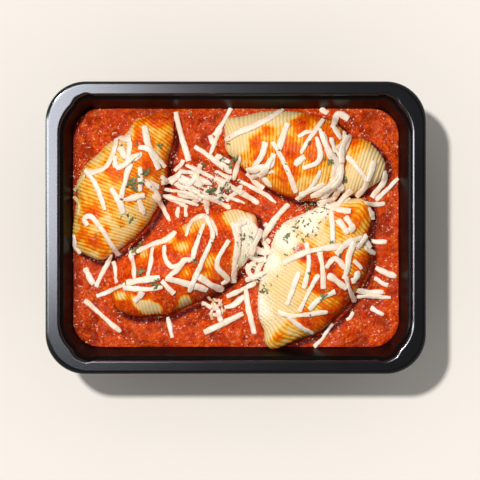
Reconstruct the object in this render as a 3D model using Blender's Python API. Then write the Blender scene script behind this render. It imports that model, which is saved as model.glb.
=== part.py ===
"""Four stuffed pasta shells in tomato sauce under grated cheese, in their black oblong tray.

Units are metres and +Z is up. The origin is on the table under the middle of the tray, +X runs
along its long side, and the four pieces of pasta lie on the sauce with their ridged backs up.
"""
import math

import bmesh
import bpy
from mathutils import Vector, noise
from mathutils.bvhtree import BVHTree

MM = 0.001
GAP = 0.3 * MM

# The tray: a thin plastic dish with a flat flange, a down-turned lip and a small step in its wall
TRAY_LENGTH = 165.1 * MM
TRAY_WIDTH = 127.0 * MM
TRAY_HEIGHT = 38.0 * MM
TRAY_CORNER = 17.5 * MM
CORNER_TIGHTENING = 1.15
TRAY_SKIN = 0.9 * MM
FLANGE_WIDTH = 6.0 * MM
LIP_DROP = 3.4 * MM
EDGE_ROUND = 0.5 * MM
STEP_DEPTH = 3.6 * MM
STEP_WIDTH = 1.2 * MM
WALL_FOOT_INSET = 16.2 * MM
WALL_FOOT_HEIGHT = 5.2 * MM
WALL_FOOT_UNDER_HEIGHT = 4.9 * MM
FLOOR_BEND_INSET = 17.7 * MM
FLOOR_BEND_HEIGHT = 2.0 * MM
FLOOR_BEND_UNDER_HEIGHT = 1.4 * MM
FLOOR_INSET = 20.0 * MM
FLOOR_UNDER_INSET = 19.0 * MM
POCKET_BULGE = 1.3 * MM
POCKET_ANGLES = (46.0, 58.0, 72.0, 84.0)
TRAY_ARC_STEPS = 6
TRAY_SHARP_ANGLE = 35.0
INNERMOST_ROUNDNESS = 0.9

# The sauce fills the tray to a lumpy top. Its noise seldom passes 0.6, hence the gain
SAUCE_LEVEL = 22.0 * MM
SAUCE_LUMP = 0.9 * MM
SAUCE_LUMP_GAIN = 1.6
SAUCE_LUMP_SPACING = 9.0 * MM
SAUCE_TOP_INSETS = (4.5 * MM, 10.0 * MM, 17.0 * MM, 26.0 * MM, 38.0 * MM)
SAUCE_ARC_STEPS = 4
SAUCE_LONG_STEPS = 7
SAUCE_SHORT_STEPS = 5
SAUCE_FOOT_GAP = 0.66 * MM
FOOD_SHARP_ANGLE = 40.0

# Every piece of pasta is widest at one height; its ridges cross its back
WIDEST_HEIGHT = SAUCE_LEVEL
UNDERSIDE_DEPTH = 18.0 * MM
UNDERSIDE_POWER = 1.6
RIDGE_COUNT = 36
RIDGE_DEPTH = 0.6 * MM
RIDGE_AT_EDGE = 0.35
RIDGE_FULL_BY = 1.3
CREASE_SIDE_SHARE = 0.5
BACK_STEPS = 7
BELLY_STEPS = 3
POCKET_ROWS = 14
POCKET_TIP = 0.25
POCKET_ALLOWANCE = 0.4 * MM
UNDERSIDE_TAPER = 0.5
HEIGHT_TAPER = 0.42

# Each piece: middle (mm), heading of its long axis (degrees), length, half width and height of
# its back above the widest line (mm), place of its widest part along it, taper of its outline
# towards the tips (blunter when small), sideways bow (mm), turn and fan of its ridges (degrees),
# and a crease as (place, depth, spread)
PASTA = {
    "pasta_shell_upper_left": dict(
        middle=(-46.6, 18.8), heading=241.2, length=70.0, half_width=15.9, rise=13.5,
        widest=0.60, taper=0.37, bow=0.0, turn=4.0, fan=27.0, crease=(0.5, 0.0, 0.1)),
    "pasta_shell_upper_right": dict(
        middle=(30.3, 30.8), heading=-11.5, length=71.0, half_width=18.8, rise=13.2,
        widest=0.47, taper=0.52, bow=0.0, turn=5.0, fan=-30.0, crease=(0.74, 0.40, 0.06)),
    "pasta_shell_lower_left": dict(
        middle=(-22.6, -14.6), heading=28.4, length=71.0, half_width=16.2, rise=13.0,
        widest=0.50, taper=0.40, bow=-2.0, turn=-8.0, fan=20.0, crease=(0.5, 0.0, 0.1)),
    "pasta_shell_lower_right": dict(
        middle=(34.2, -19.6), heading=57.0, length=72.0, half_width=20.6, rise=13.6,
        widest=0.52, taper=0.48, bow=0.6, turn=0.0, fan=10.0, crease=(0.5, 0.0, 0.1)),
}

# The low mound of cheese between them
HEAP_MIDDLE = (-14.5 * MM, 18.5 * MM)
HEAP_HALF_LENGTH = 14.0 * MM
HEAP_HALF_WIDTH = 7.4 * MM
HEAP_HEADING = -14.0
HEAP_RISE = 4.4 * MM
HEAP_SINK = 1.6 * MM
HEAP_LOBES = ((3, 0.10), (5, 0.06))
HEAP_DOME_POWER = 0.7
HEAP_ROUND_STEPS = 16
HEAP_RISE_STEPS = 3

# The shreds, as (start x, start y, end x, end y, bow to the left) in millimetres, seen from above
SHREDS_UPPER_LEFT = (
    (-39, 44, -34, 26, 1.5), (-43, 36, -31, 27, 1.0), (-53, 39, -56, 27, -1.0), (-65, 25, -57, 8, 1.5),
    (-46, 40, -48, 28, 1.0), (-45, 28, -50, 12, 1.0), (-42, 27, -41, 16, 0.5), (-50, 12, -39, 14, 0.0),
    (-54, 18, -49, 6, 1.0), (-60, 3, -51, -11, 1.0), (-57, 26, -65, 25, 1.0), (-41, 21, -33, 18, 0.0),
)
SHREDS_UPPER_RIGHT = (
    (20, 50, -4, 38, 1.0), (13, 38, 8, 26, 1.0), (23, 45, 18, 34, 0.5), (16, 38, 26, 15, 1.0),
    (38, 48, 28, 32, 0.5), (35, 40, 33, 27, 1.5), (37, 42, 42, 22, 1.5), (48, 42, 44, 33, 0.0),
    (51, 40, 45, 29, 0.5), (48, 32, 57, 20, 1.0), (60, 29, 58, 20, 0.0), (65, 25, 59, 13, 1.5),
    (45, 28, 40, 18, 1.0), (46, 19, 37, 13, 0.0),
)
SHREDS_LOWER_LEFT = (
    (-46, -11, -44, -23, 1.0), (-36, -9, -39, -23, 1.0), (-46, -12, -26, -2, -1.0), (-31, -8, -28, -17, 1.0),
    (-28, -16, -19, -14, 0.5), (-22, -14, -31, -22, 0.0), (-48, -24, -33, -21, 0.5), (-49, -27, -32, -26, 0.5),
    (-30, -22, -13, -27, 0.5), (-14, 2, -19, -15, 0.5), (-10, -3, -20, -28, 0.5), (-22, -3, -9, 2, -2.0),
    (-3, -5, -6, -25, 2.0), (-16, -21, -6, -27, 0.0), (-1, 3, -1, -23, 1.0), (9, -2, 8, -14, 0.5),
)
SHREDS_LOWER_RIGHT = (
    (42, 9, 42, -7, 0.5), (44, 5, 49, -3, 0.0), (20, -15, 45, -7, -1.0), (31, -7, 29, -26, 1.0),
    (36, -9, 38, -26, 0.5), (36, -20, 27, -36, 1.0), (28, -19, 22, -33, 0.5), (18, -36, 40, -37, -0.5),
    (23, -39, 33, -46, 0.0), (43, -27, 32, -35, 0.5), (40, -20, 49, -26, 0.0), (23, 9, 17, 0, 1.0),
    (55, -4, 43, -11, 0.5), (53, -8, 47, -22, 1.0), (38, -18, 48, -18, 0.0),
)
SHREDS_HEAP = (
    (-33, 19, -17, 14, 0.5), (-15, 30, -24, 17, 0.0), (-27, 22, -17, 17, 0.0), (-15, 33, -3, 22, 0.5),
    (-13, 20, -12, 6, 0.0), (-7, 26, -6, 12, 1.0), (-32, 14, -22, 9, 0.5), (-24, 24, -10, 19, 0.0),
    (-4, 18, 10, 10, 0.0), (-16, 25, -4, 28, 0.5), (-5, 14, 3, 10, 0.0), (-22, 13, -23, 5, 0.0),
)
SHREDS_SAUCE = (
    (-26, 50, -21, 29, 0.5), (-2, 52, -10, 41, 0.5), (-19, 35, -13, 33, 0.0), (-66, -17, -62, -24, 0.0),
    (-55, -12, -61, -26, 0.0), (-61, -29, -48, -25, 0.0), (-66, -32, -50, -45, 0.5), (-29, -38, -28, -48, 0.0),
    (-4, -30, 10, -23, 0.0), (-14, -45, 3, -37, 0.5), (5, -27, 8, -46, 1.0), (66, -25, 60, -22, 0.0),
    (59, -5, 67, -6, 0.0), (61, -17, 69, -21, 0.0), (54, -28, 65, -28, 0.5), (56, -32, 67, -31, 0.0),
    (57, 10, 66, 10, 0.0), (58, -36, 65, -39, 0.0), (-36, 14, -29, 4, -0.5),
)
SHRED_WIDTH = 3.0 * MM
SHRED_THICKNESS = 1.8 * MM
SHRED_SINK = 0.70 * MM
SHRED_LIFTS = 5
SHRED_LIFT = 0.23 * MM
SHRED_SINK_STEP = 0.06 * MM
SHRED_STATIONS = 4
LONGEST_KEPT = 9
SHRED_SHORTEST = 5.0 * MM
SHRED_TRIALS = 16
SHRED_CLEARANCE = 1.0 * MM
SHELL_EDGE_MARGIN = 3.2 * MM

RAY_START = 100.0 * MM
SHORTEST_EDGE = 0.02 * MM

# Colours as linear red, green and blue
PLASTIC_COLOUR = (0.016, 0.016, 0.017, 1.0)
SAUCE_COLOUR = (0.420, 0.038, 0.008, 1.0)
PASTA_COLOUR = (0.830, 0.470, 0.170, 1.0)
CHEESE_COLOUR = (0.930, 0.800, 0.620, 1.0)
PLASTIC_ROUGHNESS = 0.32
SAUCE_ROUGHNESS = 0.28
PASTA_ROUGHNESS = 0.38
CHEESE_ROUGHNESS = 0.50


def empty_scene():
    for old in list(bpy.data.objects):
        bpy.data.objects.remove(old, do_unlink=True)


def make_material(name, colour, roughness):
    material = bpy.data.materials.new(name)
    material.use_nodes = True
    shader = material.node_tree.nodes["Principled BSDF"]
    shader.inputs["Base Color"].default_value = colour
    shader.inputs["Roughness"].default_value = roughness
    shader.inputs["Metallic"].default_value = 0.0
    return material


def make_object(name, points, faces, collection=None):
    mesh = bpy.data.meshes.new(name)
    mesh.from_pydata(points, [], faces)
    mesh.validate()
    made = bpy.data.objects.new(name, mesh)
    (collection or bpy.context.scene.collection).objects.link(made)
    return made


def loft(rings):
    """Points and faces of a closed body through rings of equal count, capped at both ends."""
    count = len(rings[0])
    points = [point for ring in rings for point in ring]
    faces = [tuple(reversed(range(count)))]
    for row in range(len(rings) - 1):
        low, high = row * count, (row + 1) * count
        for step in range(count):
            after = (step + 1) % count
            faces.append((low + step, low + after, high + after, high + step))
    faces.append(tuple(range(len(points) - count, len(points))))
    return points, faces


def face_outwards(made):
    """Makes every face of a closed body point out and splits the faces into triangles."""
    shape = bmesh.new()
    shape.from_mesh(made.data)
    bmesh.ops.triangulate(shape, faces=shape.faces[:])
    bmesh.ops.recalc_face_normals(shape, faces=shape.faces[:])
    shape.to_mesh(made.data)
    shape.free()


def ramp(value, low, high):
    """A smooth step from 0 at low to 1 at high."""
    share = min(max((value - low) / (high - low), 0.0), 1.0)
    return share * share * (3.0 - 2.0 * share)


def pocket_share(degrees):
    """How far a corner's small denesting pocket stands out at an angle from the long side's axis."""
    opens, full, closes, shut = POCKET_ANGLES
    return ramp(degrees, opens, full) * (1.0 - ramp(degrees, closes, shut))


def corner_radius(inset):
    """The radius of the tray's corner, which tightens down the wall and stays the same below it."""
    down_wall = min(max(inset - FLANGE_WIDTH - EDGE_ROUND, 0.0), WALL_FOOT_INSET - FLANGE_WIDTH - EDGE_ROUND)
    return TRAY_CORNER - CORNER_TIGHTENING * down_wall


def outline_ring(inset, height, arc_steps, long_steps=1, short_steps=1, pocket=0.0):
    """A rounded rectangle inset from the tray's outer edge, anticlockwise from its right side."""
    half_x = TRAY_LENGTH / 2 - inset
    half_y = TRAY_WIDTH / 2 - inset
    radius = min(corner_radius(inset), INNERMOST_ROUNDNESS * half_y)
    corners = ((1, 1), (-1, 1), (-1, -1), (1, -1))
    ring = []
    for turn, (side_x, side_y) in enumerate(corners):
        for step in range(arc_steps + 1):
            angle = math.radians(90.0 * turn + 90.0 * step / arc_steps)
            from_long_axis = math.degrees(math.asin(min(1.0, abs(math.sin(angle)))))
            reach = radius + pocket * pocket_share(from_long_axis)
            x = side_x * (half_x - radius) + reach * math.cos(angle)
            y = side_y * (half_y - radius) + reach * math.sin(angle)
            ring.append(Vector((x, y, height)))
        next_x, next_y = corners[(turn + 1) % 4]
        end_angle = math.radians(90.0 * (turn + 1))
        start = ring[-1]
        end = Vector((next_x * (half_x - radius) + radius * math.cos(end_angle),
                      next_y * (half_y - radius) + radius * math.sin(end_angle), height))
        steps = long_steps if turn % 2 == 0 else short_steps
        ring.extend(start.lerp(end, step / steps) for step in range(1, steps))
    return ring


def wall_inset(height):
    """Inset of the tray's inner wall below its step, which leans in towards the floor."""
    top = TRAY_HEIGHT - STEP_DEPTH - EDGE_ROUND
    top_inset = FLANGE_WIDTH + EDGE_ROUND + STEP_WIDTH
    share = (top - height) / (top - WALL_FOOT_HEIGHT)
    return top_inset + share * (WALL_FOOT_INSET - top_inset)


def make_tray(material):
    step_top = TRAY_HEIGHT - STEP_DEPTH
    inner_edge = FLANGE_WIDTH + EDGE_ROUND
    skin = TRAY_SKIN
    underside = TRAY_HEIGHT - skin
    outside = [
        (FLOOR_UNDER_INSET, 0.0, 0),
        (FLOOR_BEND_INSET - skin, FLOOR_BEND_UNDER_HEIGHT, 0),
        (WALL_FOOT_INSET - skin, WALL_FOOT_UNDER_HEIGHT, 0),
        (wall_inset(SAUCE_LEVEL) - skin, SAUCE_LEVEL, 0),
        (inner_edge + STEP_WIDTH - skin, step_top - EDGE_ROUND - skin, 1),
        (inner_edge - skin, step_top - skin, 1),
        (inner_edge - EDGE_ROUND - skin, underside, 1),
        (skin, underside, 0),
        (skin, TRAY_HEIGHT - LIP_DROP, 0),
        (0.0, TRAY_HEIGHT - LIP_DROP, 0),
        (0.0, TRAY_HEIGHT - EDGE_ROUND, 0),
        (EDGE_ROUND, TRAY_HEIGHT, 0),
    ]
    inside = [
        (FLANGE_WIDTH - EDGE_ROUND, TRAY_HEIGHT, 1),
        (FLANGE_WIDTH, TRAY_HEIGHT - EDGE_ROUND, 1),
        (inner_edge, step_top, 1),
        (inner_edge + STEP_WIDTH, step_top - EDGE_ROUND, 0),
        (wall_inset(SAUCE_LEVEL), SAUCE_LEVEL, 0),
        (WALL_FOOT_INSET, WALL_FOOT_HEIGHT, 0),
        (FLOOR_BEND_INSET, FLOOR_BEND_HEIGHT, 0),
        (FLOOR_INSET, skin, 0),
    ]
    rings = [outline_ring(inset, height, TRAY_ARC_STEPS, pocket=POCKET_BULGE * bulges)
             for inset, height, bulges in outside + inside]
    tray = make_object("tray", *loft(rings))
    face_outwards(tray)
    tray.data.materials.append(material)
    tray.data.shade_smooth()
    tray.data.set_sharp_from_angle(angle=math.radians(TRAY_SHARP_ANGLE))
    return tray


def lumpy(point):
    """A point of the sauce's top, lifted or sunk by smooth lumps."""
    lift = noise.noise(point / SAUCE_LUMP_SPACING) * SAUCE_LUMP * SAUCE_LUMP_GAIN
    return Vector((point.x, point.y, point.z + lift))


def sauce_rings():
    def ring(inset, height):
        return outline_ring(inset, height, SAUCE_ARC_STEPS, SAUCE_LONG_STEPS, SAUCE_SHORT_STEPS)

    edge = wall_inset(SAUCE_LEVEL) + GAP
    rings = [
        ring(FLOOR_INSET + GAP, TRAY_SKIN + GAP),
        ring(WALL_FOOT_INSET + SAUCE_FOOT_GAP, WALL_FOOT_HEIGHT),
        ring(edge, SAUCE_LEVEL),
    ]
    for inset in SAUCE_TOP_INSETS:
        rings.append([lumpy(point) for point in ring(edge + inset, SAUCE_LEVEL)])
    return rings


def pasta_section(form, place, grow, ridge):
    """One closed section across a piece of pasta, at a place from 0 to 1 along its length.

    grow thickens it all round, and ridge lifts its back, fading out below the widest line.
    """
    skewed = place ** (math.log(0.5) / math.log(form["widest"]))
    swell = max(math.sin(math.pi * skewed), 0.0)
    crease_place, crease_depth, crease_spread = form["crease"]
    pinch = 1.0 - crease_depth * math.exp(-((place - crease_place) / crease_spread) ** 2)
    half_width = form["half_width"] * MM * swell ** form["taper"]
    half_width *= 1.0 - CREASE_SIDE_SHARE * (1.0 - pinch)
    rise = form["rise"] * MM * swell ** HEIGHT_TAPER * pinch
    depth = UNDERSIDE_DEPTH * swell ** UNDERSIDE_TAPER
    spine_x = (form["length"] * MM + 2 * grow) * (place - 0.5)
    spine_y = form["bow"] * MM * 4.0 * place * (1.0 - place)
    slant = math.radians(form["turn"] + form["fan"] * (place - 0.5))
    heading = math.radians(form["heading"])
    section = []
    for step in range(BACK_STEPS + BELLY_STEPS):
        if step <= BACK_STEPS:
            angle = math.pi * step / BACK_STEPS
            across = math.cos(angle) * half_width
            up = math.sin(angle) * rise
            lift = ridge * min(1.0, RIDGE_AT_EDGE + RIDGE_FULL_BY * math.sin(angle))
        else:
            angle = math.pi * (step - BACK_STEPS) / BELLY_STEPS
            power = 2.0 / UNDERSIDE_POWER
            across = -math.copysign(abs(math.cos(angle)) ** power, math.cos(angle)) * half_width
            up = -math.sin(angle) ** power * depth
            lift = 0.0
        distance = math.hypot(across, up)
        scale = (distance + grow + lift) / distance
        across, up = across * scale, up * scale
        local_x = spine_x - across * math.sin(slant)
        local_y = spine_y + across * math.cos(slant)
        x = form["middle"][0] * MM + local_x * math.cos(heading) - local_y * math.sin(heading)
        y = form["middle"][1] * MM + local_x * math.sin(heading) + local_y * math.cos(heading)
        section.append(Vector((x, y, WIDEST_HEIGHT + up)))
    return section


def ridged_rings(form):
    """Sections along a piece of pasta, two to a ridge, which stand up and sink by turns."""
    rows = 2 * RIDGE_COUNT
    return [pasta_section(form, (row + 0.5) / rows, 0.0, RIDGE_DEPTH / 2 * (-1) ** row)
            for row in range(rows)]


def smooth_rings(form, grow):
    """Fewer sections without ridges, closer together towards both ends, from tip to tip."""
    tip = POCKET_TIP / RIDGE_COUNT
    rings = []
    for row in range(POCKET_ROWS):
        share = 0.5 - 0.5 * math.cos(math.pi * row / (POCKET_ROWS - 1))
        rings.append(pasta_section(form, tip + (1 - 2 * tip) * share, grow, 0.0))
    return rings


def heap_rings(grow):
    """The bare mound: low rings round its middle, from under the sauce up to its top."""
    heading = math.radians(HEAP_HEADING)
    rings = []
    for row in range(-1, HEAP_RISE_STEPS):
        share = max(row, 0) / HEAP_RISE_STEPS
        height = SAUCE_LEVEL + (HEAP_RISE + grow) * math.sin(share * math.pi / 2)
        if row < 0:
            height = SAUCE_LEVEL - HEAP_SINK - grow
        ring = []
        for step in range(HEAP_ROUND_STEPS):
            angle = 2 * math.pi * step / HEAP_ROUND_STEPS
            (lobes, lobe), (ripples, ripple) = HEAP_LOBES
            uneven = 1.0 + lobe * math.sin(lobes * angle) + ripple * math.cos(ripples * angle)
            spread = uneven * math.cos(share * math.pi / 2) ** HEAP_DOME_POWER
            along = (HEAP_HALF_LENGTH * spread + grow) * math.cos(angle)
            across = (HEAP_HALF_WIDTH * spread + grow) * math.sin(angle)
            x = HEAP_MIDDLE[0] + along * math.cos(heading) - across * math.sin(heading)
            y = HEAP_MIDDLE[1] + along * math.sin(heading) + across * math.cos(heading)
            ring.append(Vector((x, y, height)))
        rings.append(ring)
    return rings


def surface_tree(points, faces):
    return BVHTree.FromPolygons(points, faces)


def height_on(tree, x, y):
    """Height of a surface straight below a point seen from above, or None beside it."""
    hit = tree.ray_cast(Vector((x, y, RAY_START)), Vector((0.0, 0.0, -1.0)))[0]
    return None if hit is None else hit.z


def shred_line(shred):
    """A shred's bowed centre line, as a function of a share from 0 to 1."""
    x0, y0, x1, y1, bow = (value * MM for value in shred)
    start, end = Vector((x0, y0)), Vector((x1, y1))
    along = (end - start).normalized()
    side = Vector((-along.y, along.x))

    def at(share):
        return start.lerp(end, share) + side * bow * 4.0 * share * (1.0 - share)

    return at, side


def longest_shreds(shreds):
    """The longest shreds; the many small ones are too fine for a solid."""
    def length(shred):
        return math.dist(shred[0:2], shred[2:4])

    return sorted(shreds, key=length, reverse=True)[:LONGEST_KEPT]


def longest_run(flags):
    """First and last index of the longest run of true values, or None."""
    best = None
    first = None
    for index, good in enumerate(flags + [False]):
        if good and first is None:
            first = index
        if not good and first is not None:
            if best is None or index - 1 - first > best[1] - best[0]:
                best = (first, index - 1)
            first = None
    return best


def make_shred(index, shred, support, lowest, others, collection, afloat=False):
    """A flat strip that follows what it lies on, shortened where it would leave it or meet another.

    Each next strip lies a little higher than the last, as those that cross in a heap do. An end
    that may stay afloat isn't shortened beside its support, but runs on level at the lowest height.
    """
    at, side = shred_line(shred)
    half = SHRED_WIDTH / 2

    def rests(share):
        middle = at(share)
        for offset in (-half, 0.0, half):
            spot = middle + side * offset
            height = height_on(support, spot.x, spot.y)
            if not afloat and (height is None or height < lowest):
                return False
        for offset in (-half - SHRED_CLEARANCE, 0.0, half + SHRED_CLEARANCE):
            spot = middle + side * offset
            if any(height_on(other, spot.x, spot.y) is not None for other in others):
                return False
        return True

    run = longest_run([rests(trial / SHRED_TRIALS) for trial in range(SHRED_TRIALS + 1)])
    if run is None:
        return
    first, last = run[0] / SHRED_TRIALS, run[1] / SHRED_TRIALS
    if (at(last) - at(first)).length < SHRED_SHORTEST:
        return
    sink = SHRED_SINK + SHRED_SINK_STEP * (index % SHRED_LIFTS)
    thickness = SHRED_THICKNESS + (SHRED_LIFT + SHRED_SINK_STEP) * (index % SHRED_LIFTS)
    rings = []
    for station in range(SHRED_STATIONS):
        middle = at(first + (last - first) * station / (SHRED_STATIONS - 1))
        edges = [middle + side * offset for offset in (-half, half)]
        heights = [height_on(support, edge.x, edge.y) or 0.0 for edge in edges]
        bases = [max(height - sink, lowest) if afloat else height - sink for height in heights]
        tops = [base + thickness for base in bases]
        rings.append([
            Vector((edges[0].x, edges[0].y, bases[0])),
            Vector((edges[1].x, edges[1].y, bases[1])),
            Vector((edges[1].x, edges[1].y, tops[1])),
            Vector((edges[0].x, edges[0].y, tops[0])),
        ])
    strip = make_object("shred", *loft(rings), collection)
    face_outwards(strip)


def evaluated_mesh(made):
    graph = bpy.context.evaluated_depsgraph_get()
    graph.update()
    return bpy.data.meshes.new_from_object(made.evaluated_get(graph))


def merge_short_edges(shape):
    """Merges the ends of very short edges, where that leaves the closed surface closed."""
    merged = True
    while merged:
        merged = False
        for edge in shape.edges:
            if edge.calc_length() > SHORTEST_EDGE:
                continue
            first, second = edge.verts
            round_first = {other.other_vert(first) for other in first.link_edges}
            round_second = {other.other_vert(second) for other in second.link_edges}
            if len(round_first & round_second) == 2:
                bmesh.ops.collapse(shape, edges=[edge])
                merged = True
                break


def keep_main_body(made):
    """Keeps a mesh's largest connected body, so a sealed hollow is filled and a scrap dropped."""
    shape = bmesh.new()
    shape.from_mesh(made.data)
    unseen = set(shape.faces)
    bodies = []
    while unseen:
        queue = [unseen.pop()]
        body = list(queue)
        while queue:
            for edge in queue.pop().edges:
                for face in edge.link_faces:
                    if face in unseen:
                        unseen.remove(face)
                        queue.append(face)
                        body.append(face)
        bodies.append(body)
    bodies.sort(key=len)
    scraps = [face for body in bodies[:-1] for face in body]
    bmesh.ops.delete(shape, geom=scraps, context="FACES")
    loose = [vertex for vertex in shape.verts if not vertex.link_faces]
    bmesh.ops.delete(shape, geom=loose, context="VERTS")
    bmesh.ops.triangulate(shape, faces=shape.faces[:])
    merge_short_edges(shape)
    shape.to_mesh(made.data)
    shape.free()


def combine(made, collection, operation):
    """Joins a collection's bodies to an object, or cuts them from it, and removes them."""
    if not collection.objects:
        return
    modifier = made.modifiers.new(operation.title(), "BOOLEAN")
    modifier.operation = operation
    modifier.operand_type = "COLLECTION"
    modifier.collection = collection
    modifier.solver = "EXACT"
    result = evaluated_mesh(made)
    made.modifiers.clear()
    made.data = result
    for used in list(collection.objects):
        bpy.data.objects.remove(used, do_unlink=True)
    keep_main_body(made)


def finish_piece(made, material):
    made.data.materials.clear()
    made.data.materials.append(material)
    made.data.shade_smooth()
    made.data.set_sharp_from_angle(angle=math.radians(FOOD_SHARP_ANGLE))


def build():
    empty_scene()
    plastic = make_material("tray_plastic", PLASTIC_COLOUR, PLASTIC_ROUGHNESS)
    tomato = make_material("tomato_sauce", SAUCE_COLOUR, SAUCE_ROUGHNESS)
    pasta = make_material("cooked_pasta", PASTA_COLOUR, PASTA_ROUGHNESS)
    cheese = make_material("grated_cheese", CHEESE_COLOUR, CHEESE_ROUGHNESS)
    make_tray(plastic)

    workshop = bpy.data.collections.new("workshop")
    bpy.context.scene.collection.children.link(workshop)

    growth = RIDGE_DEPTH / 2 + GAP + POCKET_ALLOWANCE
    smooth = {name: loft(smooth_rings(form, 0.0)) for name, form in PASTA.items()}
    grown = {name: loft(smooth_rings(form, growth)) for name, form in PASTA.items()}
    pasta_trees = {name: surface_tree(*shape) for name, shape in smooth.items()}
    grown_trees = {name: surface_tree(*shape) for name, shape in grown.items()}
    heap_tree = surface_tree(*loft(heap_rings(0.0)))
    grown_heap_tree = surface_tree(*loft(heap_rings(GAP)))

    sauce = make_object("sauce", *loft(sauce_rings()))
    face_outwards(sauce)
    for shape in grown.values():
        face_outwards(make_object("cutter", *shape, workshop))
    face_outwards(make_object("cutter", *loft(heap_rings(GAP)), workshop))
    combine(sauce, workshop, "DIFFERENCE")
    sauce_tree = surface_tree([v.co.copy() for v in sauce.data.vertices],
                              [tuple(face.vertices) for face in sauce.data.polygons])
    for index, shred in enumerate(longest_shreds(SHREDS_SAUCE)):
        make_shred(index, shred, sauce_tree, SAUCE_LEVEL - 2 * SAUCE_LUMP,
                   [*grown_trees.values(), grown_heap_tree], workshop)
    combine(sauce, workshop, "UNION")
    finish_piece(sauce, tomato)

    shreds_on = {
        "pasta_shell_upper_left": SHREDS_UPPER_LEFT,
        "pasta_shell_upper_right": SHREDS_UPPER_RIGHT,
        "pasta_shell_lower_left": SHREDS_LOWER_LEFT,
        "pasta_shell_lower_right": SHREDS_LOWER_RIGHT,
    }
    for name, form in PASTA.items():
        piece = make_object(name, *loft(ridged_rings(form)))
        face_outwards(piece)
        for index, shred in enumerate(longest_shreds(shreds_on[name])):
            make_shred(index, shred, pasta_trees[name], SAUCE_LEVEL + SHELL_EDGE_MARGIN, [], workshop)
        combine(piece, workshop, "UNION")
        finish_piece(piece, pasta)

    heap = make_object("cheese_heap", *loft(heap_rings(0.0)))
    face_outwards(heap)
    for index, shred in enumerate(longest_shreds(SHREDS_HEAP)):
        make_shred(index, shred, heap_tree, SAUCE_LEVEL + SAUCE_LUMP + GAP, grown_trees.values(),
                   workshop, afloat=True)
    combine(heap, workshop, "UNION")
    finish_piece(heap, cheese)
    bpy.data.collections.remove(workshop)


build()
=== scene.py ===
"""Stuffed pasta shells in tomato sauce under grated cheese, in a black tray, seen from above.

Units are metres and +Z is up. Places that were read from the photograph stay in its pixels here,
and at_photo turns them into metres on the object.
"""
import math
import random

import bmesh
import bpy
import numpy as np
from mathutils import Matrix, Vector, noise
from mathutils.bvhtree import BVHTree


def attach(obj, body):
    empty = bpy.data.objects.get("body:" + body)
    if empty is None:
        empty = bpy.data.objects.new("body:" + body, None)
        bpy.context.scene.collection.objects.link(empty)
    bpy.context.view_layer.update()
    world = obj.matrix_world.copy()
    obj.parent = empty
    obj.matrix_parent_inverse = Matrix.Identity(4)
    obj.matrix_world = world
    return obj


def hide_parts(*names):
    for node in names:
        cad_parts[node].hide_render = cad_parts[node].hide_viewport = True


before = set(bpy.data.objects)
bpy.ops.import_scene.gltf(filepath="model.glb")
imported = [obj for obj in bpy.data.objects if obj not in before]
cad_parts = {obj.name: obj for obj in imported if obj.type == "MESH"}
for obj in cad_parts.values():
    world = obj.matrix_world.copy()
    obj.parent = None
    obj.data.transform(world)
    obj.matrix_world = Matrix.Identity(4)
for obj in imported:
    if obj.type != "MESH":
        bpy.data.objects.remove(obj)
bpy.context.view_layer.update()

MM = 0.001
GAP = 0.3 * MM
DICE_SEED = 41
FULL_TURN = 6.28

# The photograph, taken from straight above: its scale at the flange, and the pixel over the
# middle of the tray
MM_PER_PIXEL = 0.4333
PHOTO_MIDDLE = (235.9, 227.7)
PHOTO_WIDTH = 480

# The tray
TRAY_LENGTH = 165.1 * MM
TRAY_WIDTH = 127.0 * MM
TRAY_HEIGHT = 38.0 * MM
TRAY_CORNER = 17.5 * MM
CORNER_TIGHTENING = 1.15
TRAY_SKIN = 0.9 * MM
FLANGE_WIDTH = 6.0 * MM
LIP_DROP = 3.4 * MM
EDGE_ROUND = 0.5 * MM
EDGE_HOLD = 0.2 * MM
STEP_DEPTH = 3.6 * MM
STEP_WIDTH = 1.2 * MM
WALL_FOOT_INSET = 16.2 * MM
WALL_FOOT_HEIGHT = 5.2 * MM
FLOOR_BEND_INSET = 17.7 * MM
FLOOR_BEND_HEIGHT = 2.0 * MM
FLOOR_INSET = 20.0 * MM
POCKET_BULGE = 1.3 * MM
POCKET_ANGLES = (46.0, 58.0, 72.0, 84.0)
TRAY_ARC_STEPS = 26
# Heights over which the film of sauce ends, and the plastic gets dull and polished
FILM_HEIGHTS = (22.0 * MM, 30.0 * MM)
DULL_HEIGHTS = (33.0 * MM, 37.0 * MM)
POLISH_HEIGHTS = (35.2 * MM, 37.2 * MM)

# The sauce: its level, slow swells, lumps of several sizes, as (size, height), and pulp
SAUCE_LEVEL = 22.0 * MM
SAUCE_LUMP = 0.9 * MM
SAUCE_LUMP_GAIN = 1.6
SAUCE_LUMP_SPACING = 9.0 * MM
SAUCE_CHUNKS = ((4.0 * MM, 0.55 * MM), (1.9 * MM, 0.34 * MM), (1.1 * MM, 0.13 * MM))
SAUCE_PULP_SIZE = 3.2 * MM
SAUCE_PULP_RISE = 0.30 * MM
SAUCE_PULP_BAND = (0.05, 0.75)
SAUCE_GRID = (300, 216)
SAUCE_CHUNK_DROP = 0.2 * MM
SAUCE_EDGE_DIP = 0.25 * MM
SAUCE_DIP_EDGE = 1.5 * MM
SAUCE_CALM_EDGE = 2.0 * MM
SUNK_DEPTHS = (0.5 * MM, 5.0 * MM)
SAUCE_FOOT_GAP = 0.66 * MM
# The sauce creeps up the pasta, and has painted shade in its pits, a painted shadow beside the pasta on
# the side away from the light, and painted shade by the left wall
CREEP_REACH = 2.5 * MM
CREEP_RISE = 0.35 * MM
PIT_SHADE = 0.55
PIT_DEPTHS = (-0.75 * MM, -0.1 * MM)
LEE_SHADOW_REACH = 2.3 * MM
LEFT_WALL_SHADE = 0.75
LEFT_WALL_REACH = 5.0 * MM

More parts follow.
